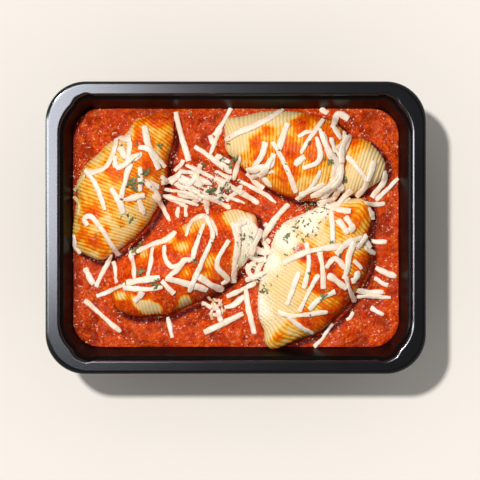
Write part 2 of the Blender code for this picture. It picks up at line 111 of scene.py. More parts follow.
# The pasta: rounded ridges with narrow valleys across every back
WIDEST_HEIGHT = SAUCE_LEVEL
UNDERSIDE_DEPTH = 18.0 * MM
UNDERSIDE_POWER = 1.6
UNDERSIDE_TAPER = 0.5
HEIGHT_TAPER = 0.42
RIDGE_COUNT = 49
RIDGE_DEPTH = 0.54 * MM
ROWS_PER_RIDGE = 6
BACK_COLUMNS = 84
BELLY_COLUMNS = 20
RIDGE_WAVER = 0.22
RIDGE_POWER = 0.75
# Broad, middling and fine noise over the pasta, as (size, seed); how far each reddens the glaze,
# and how far (mm) the first two dent the back
PASTA_NOISE = ((11.0 * MM, 3.0), (4.5 * MM, 8.0), (1.6 * MM, 5.0))
GLAZE_PATCHES = (0.18, 0.26, 0.16)
BACK_DENTS = (0.55, 0.22)
GLAZE_THICKNESS = 0.22 * MM
# Its contrast: amount, the coat at which it turns, and width
GLAZE_CONTRAST = (0.06, 0.36, 0.12)
# The height of a ridge that stays on the plain back, and how much glaze and crumbs level ridges
RIDGE_MIDDLE = 0.62
RIDGE_LOST_IN_GLAZE = 0.62
RIDGE_LOST_IN_DUST = 0.55
# The colours of the glaze from bare to plain sauce, the tint between ridges (glaze pooled there, and
# painted shade), and the painted shade on the edge away from the light
GLAZE_COLOURS = (
    (0.00, (239, 212, 156)), (0.16, (244, 204, 116)), (0.34, (250, 182, 50)), (0.52, (242, 132, 8)),
    (0.70, (230, 90, 0)), (0.86, (210, 62, 0)), (1.00, (190, 46, 0)),
)
VALLEY_GLAZE_AND_SHADE_TINT = (0.78, 0.52, 0.26, 1.0)
PAINTED_SHADE_TINT = (0.50, 0.30, 0.16, 1.0)

# Each piece of pasta: middle (mm), heading (degrees), length, half width and height of its back
# (mm), place of its widest part, taper of its outline, bow (mm), turn and fan of its ridges
# (degrees), and its crease. coat is how red its glaze is: 0 bare, 0.4 golden, 1 plain sauce.
# spots are (pixel x, pixel y, reach in pixels, redness added), and dust is the fine cheese that
# pales the glaze, as (pixel x, pixel y, reach in pixels)
PASTA = {
    "pasta_shell_upper_left": dict(
        middle=(-46.6, 18.8), heading=241.2, length=70.0, half_width=15.9, rise=13.5,
        widest=0.60, taper=0.37, bow=0.0, turn=4.0, fan=27.0, crease=(0.5, 0.0, 0.1),
        coat=0.42,
        spots=((152, 165, 13, 0.36), (137, 138, 9, 0.30), (118, 174, 8, 0.30), (98, 184, 12, -0.16),
               (160, 112, 14, 0.42), (92, 213, 7, 0.30), (84, 238, 8, 0.22), (98, 243, 8, 0.34),
               (128, 133, 10, -0.30), (122, 128, 9, -0.50), (98, 157, 9, -0.35), (110, 143, 9, -0.25),
               (140, 226, 16, -0.16), (118, 243, 13, -0.18), (158, 205, 12, -0.12),
               (163, 150, 9, -0.10), (88, 187, 9, -0.10), (93, 259, 9, -0.28), (148, 186, 10, 0.12),
               (112, 194, 10, -0.14), (125, 210, 10, -0.10)),
        dust=()),
    "pasta_shell_upper_right": dict(
        middle=(30.3, 30.8), heading=-11.5, length=71.0, half_width=18.8, rise=13.2,
        widest=0.47, taper=0.52, bow=0.0, turn=5.0, fan=-30.0, crease=(0.74, 0.40, 0.06),
        coat=0.42,
        spots=((226, 133, 15, -0.85), (240, 124, 14, -0.85), (226, 152, 13, -0.60),
               (240, 144, 9, -0.45), (256, 116, 12, -0.75), (272, 112, 11, -0.75),
               (288, 109, 10, -0.75), (300, 107, 8, -0.60), (255, 147, 11, 0.30), (262, 130, 8, 0.22),
               (290, 150, 13, 0.30), (302, 122, 11, 0.25), (352, 140, 8, 0.42), (330, 135, 12, 0.25),
               (318, 116, 8, 0.25), (300, 184, 10, -0.15), (290, 172, 13, 0.24), (372, 170, 18, -0.95),
               (356, 180, 14, -0.80), (380, 184, 14, -0.80), (315, 150, 16, 0.22), (276, 176, 7, -0.05),
               (250, 152, 6, -0.20), (333, 200, 15, -0.55), (350, 198, 12, -0.50), (285, 128, 9, -0.18),
               (272, 165, 7, 0.08), (260, 160, 6, 0.20)),
        dust=()),
    "pasta_shell_lower_left": dict(
        middle=(-22.6, -14.6), heading=28.4, length=71.0, half_width=16.2, rise=13.0,
        widest=0.50, taper=0.40, bow=-2.0, turn=-8.0, fan=20.0, crease=(0.5, 0.0, 0.1),
        coat=0.90,
        spots=((183, 248, 8, -0.50), (184, 273, 7, -0.50), (211, 260, 8, -0.46), (170, 236, 7, -0.48),
               (184, 229, 7, -0.45), (146, 258, 6, -0.40), (157, 246, 6, -0.44), (144, 253, 6, -0.40),
               (243, 224, 11, -1.15), (232, 215, 9, -0.90), (247, 243, 12, -1.15),
               (243, 262, 12, -1.10), (238, 282, 9, -0.95), (226, 240, 8, 0.30), (147, 307, 8, -1.30),
               (157, 309, 6, -0.90), (185, 303, 7, -1.20), (137, 303, 6, -0.95), (167, 305, 6, 0.50),
               (198, 300, 6, 0.35), (162, 262, 6, -0.25), (205, 276, 5, -0.35), (202, 220, 9, -0.75),
               (190, 226, 7, -0.50), (119, 296, 6, -0.6), (128, 299, 9, -0.42)),
        dust=((245, 224, 7), (250, 232, 7), (248, 245, 8), (244, 260, 7), (239, 276, 5))),
    "pasta_shell_lower_right": dict(
        middle=(34.2, -19.6), heading=57.0, length=72.0, half_width=20.6, rise=13.6,
        widest=0.52, taper=0.48, bow=0.6, turn=0.0, fan=10.0, crease=(0.5, 0.0, 0.1),
        coat=0.30,
        spots=((277, 240, 17, -0.60), (264, 262, 16, -0.60), (260, 286, 16, -0.60),
               (279, 300, 17, -0.75), (266, 320, 14, -0.75), (286, 272, 14, -0.70),
               (300, 215, 10, -0.30), (316, 210, 10, -0.30), (320, 266, 22, 0.25), (336, 300, 18, 0.14),
               (283, 336, 9, 0.05), (293, 217, 6, 0.55), (302, 253, 8, 0.60), (325, 263, 12, 0.62),
               (341, 284, 12, 0.55), (318, 286, 9, 0.50), (309, 320, 11, 0.58), (333, 318, 12, 0.58),
               (348, 300, 9, 0.50), (345, 256, 8, 0.45), (348, 220, 15, 0.26), (328, 208, 9, 0.16),
               (361, 262, 9, 0.40), (357, 280, 8, 0.35), (284, 332, 10, 0.10), (332, 232, 8, 0.06),
               (322, 240, 8, -0.15)),
        dust=((272, 232, 15), (258, 252, 13), (254, 276, 12), (256, 298, 9), (288, 220, 9),
              (304, 212, 12), (322, 211, 9), (262, 310, 8), (292, 203, 9), (310, 228, 9),
              (290, 242, 11), (272, 262, 10))),
}
# The flat direction in which the light travels, and the glaze near the edge: how much is added on the
# side away from the light, partly as painted shade, and taken off the lit side, partly as painted
# light, and where: bands give the rise of the back over which something fades, from the edge (0) to the
# top (1)
AWAY_FROM_LIGHT = (0.73, -0.68)
SHADED_SIDE_GLAZE = 0.42
LIT_SIDE_BARE = 0.26
RUN_BAND = (0.10, 0.62)
RUN_BREAKS = (-0.35, 0.25)
SHADE_BAND = (0.05, 0.72)
DUST_FROM = 0.12

# Torn pale lips at the left edge of the upper left piece, along lines of pixels
TORN_LIPS = (
    ((73.5, 197.5), (76, 199.5), (77.8, 204)),
    ((76.5, 201.5), (78.6, 208), (78.2, 215)),
    ((84, 174.5), (80.5, 178.5), (77, 184)),
    ((79, 181), (76, 186), (74.5, 190.5)),
)
LIP_NARROW = 0.6
LIP_SEED = 5

# Where each outline is pulled out to a corner or in to a hollow: (pixel x, pixel y, reach in
# pixels, shift in x and in y, mm)
PULLS = {
    "pasta_shell_upper_left": (
        (173, 115, 7, 1.6, 1.2), (141, 127, 10, -1.8, 1.6), (95, 168, 17, -4.7, 2.0),
        (112, 149, 12, -1.9, 1.7), (90, 189, 13, -3.4, 0.8), (82, 208, 9, -1.2, 0.0),
        (170, 158, 14, -2.0, 0.0), (100, 256, 12, 0.0, -1.8), (160, 182, 10, -1.4, 0.0)),
    "pasta_shell_upper_right": (
        (231, 122, 10, -2.2, 2.0), (222, 150, 9, -1.2, -1.4)),
    "pasta_shell_lower_left": (
        (258, 214, 9, 2.0, 1.8), (167, 309, 7, 0.0, -1.6), (236, 212, 9, 0.0, 1.0),
        (125, 306, 8, 1.2, 1.6)),
    "pasta_shell_lower_right": (
        (281, 342, 14, -3.4, -1.8), (360, 211, 12, 1.4, 3.4), (374, 238, 14, -2.6, 0.0),
        (286, 231, 20, -2.2, 2.2), (300, 344, 14, 0.6, 1.8), (257, 332, 9, 1.8, 0.0)),
}

# The heap of cheese between the pieces: a low mound, and short shreds tossed over it. turns are
# the directions (degrees) and halves the half lengths that they are drawn from
TOSSED_SPREAD = 10.0
HEAP_MIDDLE = (-14.5 * MM, 18.5 * MM)
HEAP_HALF_LENGTH = 14.0 * MM
HEAP_HALF_WIDTH = 7.4 * MM
HEAP_HEADING = -14.0
HEAP_RISE = 4.4 * MM
HEAP_SINK = 1.6 * MM
HEAP_LOBES = ((3, 0.10), (5, 0.06))
HEAP_DOME_POWER = 0.7
HEAP_GRID = (26, 96)
HEAP_BUMP_SIZE = 2.2 * MM
HEAP_BUMP = 1.3 * MM
HEAP_SETTLE = 0.8 * MM
HEAP_REACH = (1.15 * HEAP_HALF_LENGTH, 1.05 * HEAP_HALF_WIDTH)
HEAP_SHORT_SHREDS = dict(count=20, turns=(-34.0, -29.0, -25.0, -20.0, -27.0, -22.0, 38.0, 70.0),
                         halves=(2.4 * MM, 5.2 * MM))

# The little knot of dry cheese bits on the sauce, drawn like the short shreds
BITS_MIDDLE = (213.0, 309.0)
BITS_REACH = (5.2 * MM, 4.4 * MM)
BITS_AGED = 0.9
BITS = dict(count=20, turns=(20.0, 75.0, -40.0, -75.0, 110.0), halves=(0.7 * MM, 2.0 * MM))

# Grated cheese. Each shred is laid in steps along its line, bends a little to both sides, leans
# with what lies under it, droops into gaps, sinks in a little, and swells and thins along itself
SHRED_WIDTH = 2.5 * MM
SHRED_THICKNESS = 1.15 * MM
SHRED_ROUNDING = 0.52 * MM
SHRED_UNEVENNESS = 0.95 * MM
SHRED_EMBED = 0.32 * MM
SHRED_DROOP = 0.25 * MM
SHRED_BEND = 0.36 * MM
SHRED_LEAN = 0.75
SHRED_WIDTHS = (0.78, 1.22)
SHRED_WAVES = 0.13
BEND_RANGE = (2.0, 5.0)
WAVE_RANGE = (3.0, 11.0)
LEAN_JITTER = 0.06
PATH_STEP = 0.55 * MM
PATH_FEWEST_STEPS = 4
STEPS_BETWEEN_PIXELS = 12
# Shreds of some places are narrower than the others
SAUCE_NARROW = 0.88
HEAP_NARROW = 0.86
BITS_NARROW = 0.7
# How shreds end and melt: steps in a tip, the range of its end's width, and the share melted
PLAIN_CUT = ((1, 2, 3, 6), (0.52, 1.0), 0.5)
FINE_CUT = ((2, 4, 7, 10), (0.18, 0.9), 0.85)
# The grid that keeps the height of everything laid so far: its cells, and its half sides in y, x
HEIGHTS_STEP = 0.25 * MM
HEIGHTS_HALF = (54.0 * MM, 72.0 * MM)
HEIGHTS_FROM = 100.0 * MM

# The pixels that every shred passes over, from the lowest of them to the topmost
SHREDS = {
    "upper_left": (
        ((176, 112), (181, 134), (188, 160)),
        ((88, 226), (84.5, 220), (91, 217), (101, 228), (111, 244), (117, 254)),
        ((142, 153), (130, 160)),
        ((115, 138), (113, 149), (109, 161), (103, 169), (92, 173), (85, 171)),
        ((85.5, 171), (93, 180), (99, 192), (104.5, 209)), ((143, 180), (157.5, 186)),
        ((145, 126), (149, 148), (158, 169)), ((138, 146), (150, 150), (165, 166)),
        ((111, 188), (118, 199.5), (122.6, 214)), ((115, 155), (116, 167)), ((120, 146), (126, 158)),
        ((139, 167), (141, 192)), ((131, 164), (126, 173), (121.5, 199)),
        ((129, 136), (130, 149), (126, 163), (115, 167)), ((118, 137), (131, 139)),
        ((139.5, 199), (143, 213)), ((122.6, 199), (145, 196)), ((140, 154), (128, 161), (121, 166)),
        ((145, 182), (155, 190), (160, 200)),
    ),
    "upper_right": (
        ((283, 109), (256, 124), (226, 140)), ((265, 141), (262, 156), (254, 169)),
        ((289, 123), (283, 136), (277, 149)), ((275, 154), (271, 163), (263, 170)),
        ((272, 141), (280, 154), (289, 172), (297, 193)), ((313, 131), (298, 136)),
        ((323, 118), (314, 134), (301, 153)), ((305, 156), (296, 166)),
        ((317, 137), (320, 152), (316, 163), (303, 169)),
        ((322, 131), (329, 152), (336, 166), (333, 180)), ((330, 137), (336, 152)),
        ((332, 125), (341, 138)), ((346, 132), (343, 141), (338, 150)),
        ((352, 135), (347, 147), (340, 160)), ((347, 155), (358, 168), (367, 182), (356, 196)),
        ((375, 160), (373, 171), (369, 182)), ((386, 170), (385, 183), (373, 197)),
        ((341, 163), (336, 178), (329, 186)), ((343, 183), (333, 190), (322, 198)),
        ((329, 205), (340, 203), (351, 198)), ((320, 170), (314, 182), (306, 194), (298, 200)),
        ((325, 183), (312, 189), (300, 196)), ((338, 178), (325, 191), (312, 197)),
        ((342, 186), (333, 197), (318, 203)), ((330, 178), (338, 184), (344, 190)),
        ((353, 190), (344, 196), (338, 203)), ((333, 124), (339, 113), (350, 119)),
        ((322, 108), (329, 113)),
        ((320, 128), (327, 147), (336, 160), (341, 172), (334, 184), (321, 193)),
        ((337, 150), (342, 162), (340, 178), (331, 188)), ((347, 135), (343, 150), (341, 163)),
        ((265, 165), (256, 170), (248, 171)), ((273, 158), (266, 168), (258, 176)),
    ),
    "lower_left": (
        ((129, 253), (134, 266), (134, 280)), ((153, 248), (151, 265), (146, 282)),
        ((130, 255), (140, 250), (153, 243), (166, 239), (175, 232)),
        ((126, 283), (143, 279), (160, 277)), ((122, 287), (138, 289), (150, 290), (163, 288)),
        ((164, 246), (164, 257), (170, 266), (178, 264), (184, 259), (192, 260)),
        ((186, 260), (177, 269), (166, 277)), ((142, 292), (134, 301)), ((162, 281), (173, 293)),
        ((185, 236), (188, 226), (193, 219), (203, 215), (212, 222), (218, 236)),
        ((203, 224), (199, 234), (196, 245), (193, 262)), ((166, 279), (186, 283), (207, 291)),
        ((198, 277), (210, 284), (223, 290)),
        ((228, 240), (218, 257), (218, 268), (228, 279), (222, 285)),
        ((213, 235), (203, 258), (190, 293)), ((233, 222), (238, 240), (236, 262), (234, 283)),
        ((246, 222), (239, 226), (240, 234)), ((252, 222), (256, 230), (250, 238)),
        ((205, 216), (212, 229), (214, 240)),
    ),
    "lower_right": (
        ((289, 203), (276, 220), (262, 237)), ((332, 206), (333, 225), (332, 244)),
        ((338, 219), (348, 233)), ((324, 204), (338, 209), (352, 212)),
        ((345, 217), (352, 226), (350, 232)), ((300, 273), (293, 289), (286, 304)),
        ((307, 243), (309, 262), (303, 288)), ((320, 248), (323, 268), (323, 288)),
        ((283, 262), (310, 252), (341, 245)), ((319, 274), (310, 292), (299, 311)),
        ((278, 311), (288, 315), (300, 316), (329, 313)), ((289, 318), (300, 326), (313, 335)),
        ((335, 291), (322, 299), (309, 309)), ((327, 269), (335, 258), (346, 270)),
        ((328, 275), (337, 281), (346, 288)), ((362, 237), (347, 245), (336, 254)),
        ((356, 243), (349, 255), (347, 268), (344, 280)), ((354, 260), (362, 268)),
        ((351, 282), (361, 273)), ((365, 237), (371, 247)), ((346, 276), (350, 288), (355, 302)),
        ((368, 236), (362, 243), (356, 247)),
    ),
    "sauce": (
        ((72.5, 235), (75, 248), (80, 254)), ((84, 267), (92, 284)),
        ((110, 254), (103, 271), (96, 288)), ((112, 262), (117, 284)),
        ((95, 296), (111, 290), (126, 285)), ((83, 301), (101, 316), (120, 332)),
        ((168, 318), (171, 338)), ((175, 171), (182.5, 159)), ((160, 183), (172, 177), (184, 170)),
        ((226, 298), (242, 289), (258, 281)), ((225, 308), (236, 303), (246, 297)),
        ((247, 290), (249, 312), (254, 335)), ((203, 333), (223, 323), (244, 314)),
        ((257, 232), (256, 247), (254, 262)), ((250, 262), (258, 270)), ((254, 272), (262, 280)),
        ((217, 310), (222, 323)), ((203, 303), (211, 308)), ((267, 259), (260, 268), (253, 279)),
        ((250, 264), (249, 272), (254, 279)), ((256, 228), (262, 236), (271, 243)),
        ((262, 240), (269, 251)), ((265, 224), (274, 228)), ((245, 281), (258, 275), (267, 272)),
        ((251, 246), (262, 252), (272, 251)), ((247, 252), (255, 259), (266, 259)),
        ((262, 230), (254, 243), (251, 256)), ((232, 108), (223, 121), (213, 134)),
        ((209, 134), (216, 146)), ((400, 178), (389, 190), (377, 200)), ((366, 203), (386, 204)),
        ((370, 208), (374, 220)), ((372, 240), (388, 243)), ((377, 268), (397, 277)),
        ((376, 279), (389, 286)), ((358, 292), (384, 292)), ((356, 298), (374, 297), (391, 297)),
        ((371, 308), (385, 315)), ((347, 320), (355, 313)), ((334, 325), (324, 336), (314, 348)),
        ((366, 248), (375, 253)),
    ),
    "heap": (
        ((175, 178), (189, 185), (202, 193)), ((163, 188), (179, 191), (195, 196)),
        ((162, 195), (173, 199), (185, 206)), ((187, 185), (194, 176), (201, 164)),
        ((177, 206), (178, 218)), ((187, 204), (185, 216)), ((153, 195), (161, 206), (170, 221)),
        ((206, 187), (207, 202), (208, 214)), ((196, 173), (200, 185)),
        ((193.5, 146), (203, 151), (217, 161), (232, 171)), ((222.5, 129), (216, 141), (210, 154)),
        ((215, 153.5), (230, 162.5)), ((209, 158), (220, 166), (232, 172)),
        ((240, 155), (238, 167), (234, 180)), ((208, 188), (227, 196), (245, 204)),
        ((222, 180), (241, 192), (260, 204)), ((238, 179), (258, 190), (277, 203)),
        ((168, 196), (183, 200), (199, 206)), ((192, 190), (209, 196), (224, 201)),
        ((214, 176), (228, 184), (243, 194)), ((246, 173), (255, 181), (264, 188)),
        ((252, 178), (264, 172), (274, 171)), ((256, 171), (264, 178), (272, 187)),
        ((186, 165), (199, 170), (213, 178)), ((181, 170), (176, 176), (170, 182)),
        ((198, 196), (214, 200), (230, 207)),
    ),
}

# Parsley: pixel of every flake and its size (mm)
PARSLEY = (
    (121, 145, 1.5), (136.5, 144, 2.2), (160.6, 145.5, 2.2), (145.5, 174, 3.4), (132.5, 183.5, 3.2),
    (139.5, 183, 3.2), (151, 186, 1.8), (120.6, 199, 1.5), (121, 217, 1.8), (132, 218, 2.0),
    (120.5, 227, 1.2), (95.5, 235, 2.0), (130, 237, 1.3), (139.5, 243.5, 2.2), (133, 250.5, 3.2),
    (141, 272, 3.2), (155.5, 284.5, 3.8), (121.5, 283.5, 1.5), (196, 262, 2.8), (212, 243, 1.6),
    (199, 234, 1.2), (244, 239, 1.8), (252, 233, 1.2), (254, 267, 1.5), (256, 288.5, 1.2),
    (263, 292, 1.2), (280, 228, 2.2), (286.5, 236.5, 3.0), (301.6, 233, 1.5), (313, 231, 1.6),
    (316, 235, 1.6), (294, 249, 1.8), (286, 255, 1.8), (331.4, 242, 2.6), (309, 273, 1.8),
    (322, 212, 1.5), (313, 213.5, 1.8), (340, 256, 2.4), (324.5, 296, 2.0), (328.6, 290, 1.6),
    (277.5, 276, 1.6), (262, 291, 1.4), (310.5, 315, 1.3), (347, 298, 2.6), (228.5, 143.5, 2.0),
    (230, 137, 1.6), (234.5, 158, 3.0), (220.5, 159, 1.6), (227, 163.5, 1.8), (279, 150, 1.3),
    (286, 164, 1.1), (287, 171, 1.0), (309, 143, 2.2), (310, 155, 1.8), (324.5, 158.5, 2.6),
    (331, 161, 2.6), (321.5, 126.5, 1.0), (346, 178.5, 3.2), (204, 164, 2.8), (210.5, 190, 4.6),
    (217.5, 174, 2.0), (230, 167, 1.8), (201, 192.5, 1.6), (239.5, 180.5, 1.4), (227.5, 184.5, 1.2),
    (228, 190.5, 1.3), (216, 195, 1.2), (219.5, 193.5, 1.0), (198, 180, 1.3), (201, 209, 1.6),
    (190, 112.5, 2.0), (158, 318, 1.2), (305, 226, 1.8), (318, 228, 1.6), (297, 236, 1.3),
    (308, 236, 1.6), (270, 283, 1.0), (266, 274, 1.2), (258, 280, 1.2), (246, 256, 1.3),
    (238, 246, 1.2), (321, 300, 1.4), (376, 262, 1.3), (378, 286, 1.3), (299, 208, 1.2),
    (306, 203, 1.3), (138, 176, 2.2), (127, 186, 2.2), (144, 180, 2.4), (162, 171, 1.2),
)

# Clumps of parsley: pixel of the middle, reach in pixels and number of flakes
PARSLEY_CLUMPS = (
    (134, 184, 6, 26), (146, 173, 4.5, 6), (210.5, 190, 3, 4), (140.5, 271, 4, 6), (155.5, 284, 4.5, 7),
    (133, 250, 4, 5), (138, 244, 3.5, 4), (346, 178.5, 4, 4), (234.5, 158, 3, 4), (196, 262, 3, 3),
    (318, 211, 12, 20), (304, 229, 12, 16), (264, 284, 9, 12), (286, 237, 5, 5), (225, 163, 7, 9),
    (218, 192, 8, 9), (245, 240, 8, 9), (331, 160, 4, 4), (326, 294, 5, 5), (160, 146, 3, 3),
    (133, 217, 8, 5), (230, 187, 6, 6),
)
CLUMP_FLAKE_SIZES = (0.9, 2.7)
LEAF_RIM = 10
LEAF_LONG, LEAF_SHORT = 1.25, 0.85
# A flake leans with the slope around it, up to a limit, and lies a little over it
FLAKE_REACH = 0.7 * MM
FLAKE_SLOPE = 0.8
FLAKE_LIFT = 0.1 * MM

# Finely grated hard cheese: pixel of the middle, reach in pixels and number of crumbs
CRUMBS = {
    "lower_left": ((246, 226, 9, 70), (248, 243, 10, 110), (245, 260, 10, 90), (240, 274, 8, 50)),
    "lower_right": ((279, 237, 12, 460), (266, 254, 11, 380), (261, 276, 10, 340), (263, 299, 9, 240),
                    (293, 226, 9, 260), (309, 214, 10, 330), (301, 206, 6, 70), (312, 228, 9, 240),
                    (290, 244, 10, 260), (276, 264, 10, 220), (266, 318, 8, 150), (320, 207, 7, 130),
                    (328, 209, 8, 110), (320, 219, 9, 120), (264, 306, 7, 110)),
    "heap": ((205, 165, 14, 100), (222, 172, 13, 150), (200, 190, 14, 90), (236, 188, 14, 110),
             (222, 196, 10, 70)),
}
CRUMB_SIZES = (0.24, 0.62)
CRUMB_SPREAD = 0.6
CRUMBS_SUNK = 0.85
CRUMBS_STAY_OVER = SAUCE_LEVEL + 1.4 * MM

# What every tree that strews things over points takes in
STREWN_INPUTS = (("Points", "Geometry", None), ("Size", "Float", 1.0), ("Seed", "Int", 0))

# Lights and camera, from the photograph's shadow and flange
LIGHT_DIRECTION = (11.9, -11.1, -37.6)
SUN_STRENGTH = 2.74
SUN_WIDTH = 3.8
ROOM_SIDES = 0.50
ROOM_CEILING = 0.10
CEILING_EDGE = (0.72, 0.94)
CAMERA_MIDDLE = (1.8 * MM, -5.3 * MM)
CAMERA_RISE = 2.4
CAMERA_SENSOR = 36.0
TABLE_HALF = 3.0
TABLE_COLOURS = ((0.832, 0.787, 0.728, 1.0), (0.826, 0.782, 0.724, 1.0))


def at_photo(pixel_x, pixel_y):
    """The place on the object, in metres, under a pixel of the photograph."""
    return ((pixel_x - PHOTO_MIDDLE[0]) * MM_PER_PIXEL * MM,
            (PHOTO_MIDDLE[1] - pixel_y) * MM_PER_PIXEL * MM)


def in_photo(x, y):
    """The pixel of the photograph over a place on the object."""
    return (PHOTO_MIDDLE[0] + x / (MM_PER_PIXEL * MM), PHOTO_MIDDLE[1] - y / (MM_PER_PIXEL * MM))


def colour(red, green, blue):
    """A linear colour from its everyday 0 to 255 values."""
    def straight(value):
        value = value / 255.0
        return value / 12.92 if value <= 0.04045 else ((value + 0.055) / 1.055) ** 2.4

    return (straight(red), straight(green), straight(blue), 1.0)


def smooth_step(value, low, high):
    """0 below low, 1 above high and a soft rise between; value may be an array."""
    share = np.clip((value - low) / (high - low), 0.0, 1.0)
    return share * share * (3.0 - 2.0 * share)


def noise_at(points, size, seed=0.0):
    """Smooth noise, about -0.6 to 0.6, at every row of an array of points."""
    shift = Vector((seed, -seed, 0.7 * seed))
    return np.array([noise.noise(Vector(point) / size + shift) for point in points])


# Making meshes

def placed(name, data):
    """An object that holds some data, linked to the scene."""
    made = bpy.data.objects.new(name, data)
    bpy.context.scene.collection.objects.link(made)
    return made


def new_object(name, points, faces=(), material=None, edges=()):
    """A smooth mesh object from its points and faces, or from its points and edges."""
    mesh = bpy.data.meshes.new(name)
    mesh.from_pydata([tuple(point) for point in points], edges, faces)
    mesh.shade_smooth()
    if material is not None:
        mesh.materials.append(material)
    return placed(name, mesh)


def add_values(made, **values):
    """Keeps numbers for every point of a mesh, by name, for its material and its tree to read."""
    for name, numbers in values.items():
        numbers = np.asarray(numbers, dtype=np.float32)
        made.data.attributes.new(name, "FLOAT", "POINT").data.foreach_set("value", numbers)


def turned(along, across, degrees, middle):
    """The place that lies so far along and across a heading, seen from a middle."""
    heading = math.radians(degrees)
    return (middle[0] + along * math.cos(heading) - across * math.sin(heading),
            middle[1] + along * math.sin(heading) + across * math.cos(heading))


def tube_faces(rows, columns):
    """Faces of a closed tube of rows of points, each row a ring."""
    faces = []
    for row in range(rows - 1):
        low, high = row * columns, (row + 1) * columns
        for column in range(columns):
            after = (column + 1) % columns
            faces.append((low + column, low + after, high + after, high + column))
    return faces


def face_out(made):
    """Turns every face of a closed mesh outwards."""
    shape = bmesh.new()
    shape.from_mesh(made.data)
    bmesh.ops.recalc_face_normals(shape, faces=shape.faces[:])
    shape.to_mesh(made.data)
    shape.free()
    return made


def capped_tube(name, points, around, material):
    """A closed object from rings of points, so many to a ring, with a flat cap on both ends."""
    faces = tube_faces(len(points) // around, around)
    faces.append(tuple(reversed(range(around))))
    faces.append(tuple(range(len(points) - around, len(points))))
    return face_out(new_object(name, points, faces, material))


def surface_tree(*objects):
    """One search tree over the surfaces of several objects."""
    points, faces = [], []
    for made in objects:
        start = len(points)
        points.extend(vertex.co.copy() for vertex in made.data.vertices)
        faces.extend(tuple(start + index for index in face.vertices) for face in made.data.polygons)
    return BVHTree.FromPolygons(points, faces)


# Node trees

def put(tree, kind, settings=None, **inputs):
    """A new node, its settings made and its inputs linked or set; names use _ for a space."""
    made = tree.nodes.new(kind)
    for name, value in (settings or {}).items():
        setattr(made, name, value)
    for name, value in inputs.items():
        key = int(name[1:]) if name[0] == "i" and name[1:].isdigit() else name.replace("_", " ")
        fill(tree, made.inputs[key], value)
    return made


def fill(tree, socket, value):
    """Links an input to a socket, or to a node's first output, or sets its plain value."""
    if isinstance(value, bpy.types.Node):
        value = value.outputs[0]
    if isinstance(value, bpy.types.NodeSocket):
        tree.links.new(value, socket)
    else:
        socket.default_value = value


def sums(tree, operation, first, second=0.0, third=0.0, clamp=False):
    settings = {"operation": operation, "use_clamp": clamp}
    return put(tree, "ShaderNodeMath", settings, i0=first, i1=second, i2=third).outputs[0]


def times(tree, first, second, plus=None, clamp=False):
    if plus is None:
        return sums(tree, "MULTIPLY", first, second, clamp=clamp)
    return sums(tree, "MULTIPLY_ADD", first, second, plus, clamp)


def mixed(tree, share, first, second, kind="MIX"):
    settings = {"data_type": "RGBA", "blend_type": kind}
    return put(tree, "ShaderNodeMix", settings, i0=share, i6=first, i7=second).outputs[2]


def tinted(tree, under, share, strength, *tone):
    """A colour with an everyday colour over it, as far as a share times a strength."""
    return mixed(tree, times(tree, share, strength), under, colour(*tone))


def graded(tree, value, stops):
    """A colour ramp through (place, colour) stops."""
    made = put(tree, "ShaderNodeValToRGB", Fac=value)
    elements = made.color_ramp.elements
    while len(elements) < len(stops):
        elements.new(0.5)
    for element, (place, tone) in zip(elements, stops):
        element.position = place
        element.color = tone
    return made.outputs["Color"]


def stretched(tree, value, low, high, to_low=0.0, to_high=1.0):
    made = put(tree, "ShaderNodeMapRange", {"interpolation_type": "SMOOTHSTEP"}, Value=value)
    for name, end in (("From Min", low), ("From Max", high), ("To Min", to_low), ("To Max", to_high)):
        fill(tree, made.inputs[name], end)
    return made.outputs["Result"]


def cloud(tree, place, per_metre, detail=2.0, roughness=0.5):
    """Noise with so many waves to the metre."""
    return put(tree, "ShaderNodeTexNoise", Vector=place, Scale=per_metre, Detail=detail,
               Roughness=roughness).outputs["Fac"]


def patches(tree, place, per_metre, low, high, detail=2.0, roughness=0.5, to_low=0.0, to_high=1.0):
    """Noise that is to_low below low and to_high above high, with a soft rise between."""
    return stretched(tree, cloud(tree, place, per_metre, detail, roughness), low, high, to_low, to_high)


def upward(tree, vector):
    """The upward part of a vector: the height of a place or the steepness of a normal."""
    return put(tree, "ShaderNodeSeparateXYZ", Vector=vector).outputs["Z"]


def new_tree(name, kind, takes, gives):
    """An empty node group with named inputs and outputs."""
    tree = bpy.data.node_groups.new(name, kind)
    for label, sort, value in takes:
        socket = tree.interface.new_socket(name=label, in_out="INPUT", socket_type="NodeSocket" + sort)
        if value is not None:
            socket.default_value = value
    for label, sort in gives:
        tree.interface.new_socket(name=label, in_out="OUTPUT", socket_type="NodeSocket" + sort)
    return tree, tree.nodes.new("NodeGroupInput").outputs, tree.nodes.new("NodeGroupOutput").inputs


def use_group(tree, group, **inputs):
    return put(tree, "ShaderNodeGroup", {"node_tree": group}, **inputs).outputs


def make_mottle():
    """Two colours in soft patches of one size, broken up by finer ones."""
    tree, takes, gives = new_tree(
        "soft_mottle", "ShaderNodeTree",
        (("Place", "Vector", None), ("Per Metre", "Float", 200.0), ("First", "Color", None),
         ("Second", "Color", None)),
        (("Colour", "Color"),))
    patch = patches(tree, takes["Place"], takes["Per Metre"], 0.36, 0.64, 3.0, 0.6)
    fill(tree, gives["Colour"], mixed(tree, patch, takes["First"], takes["Second"]))
    return tree


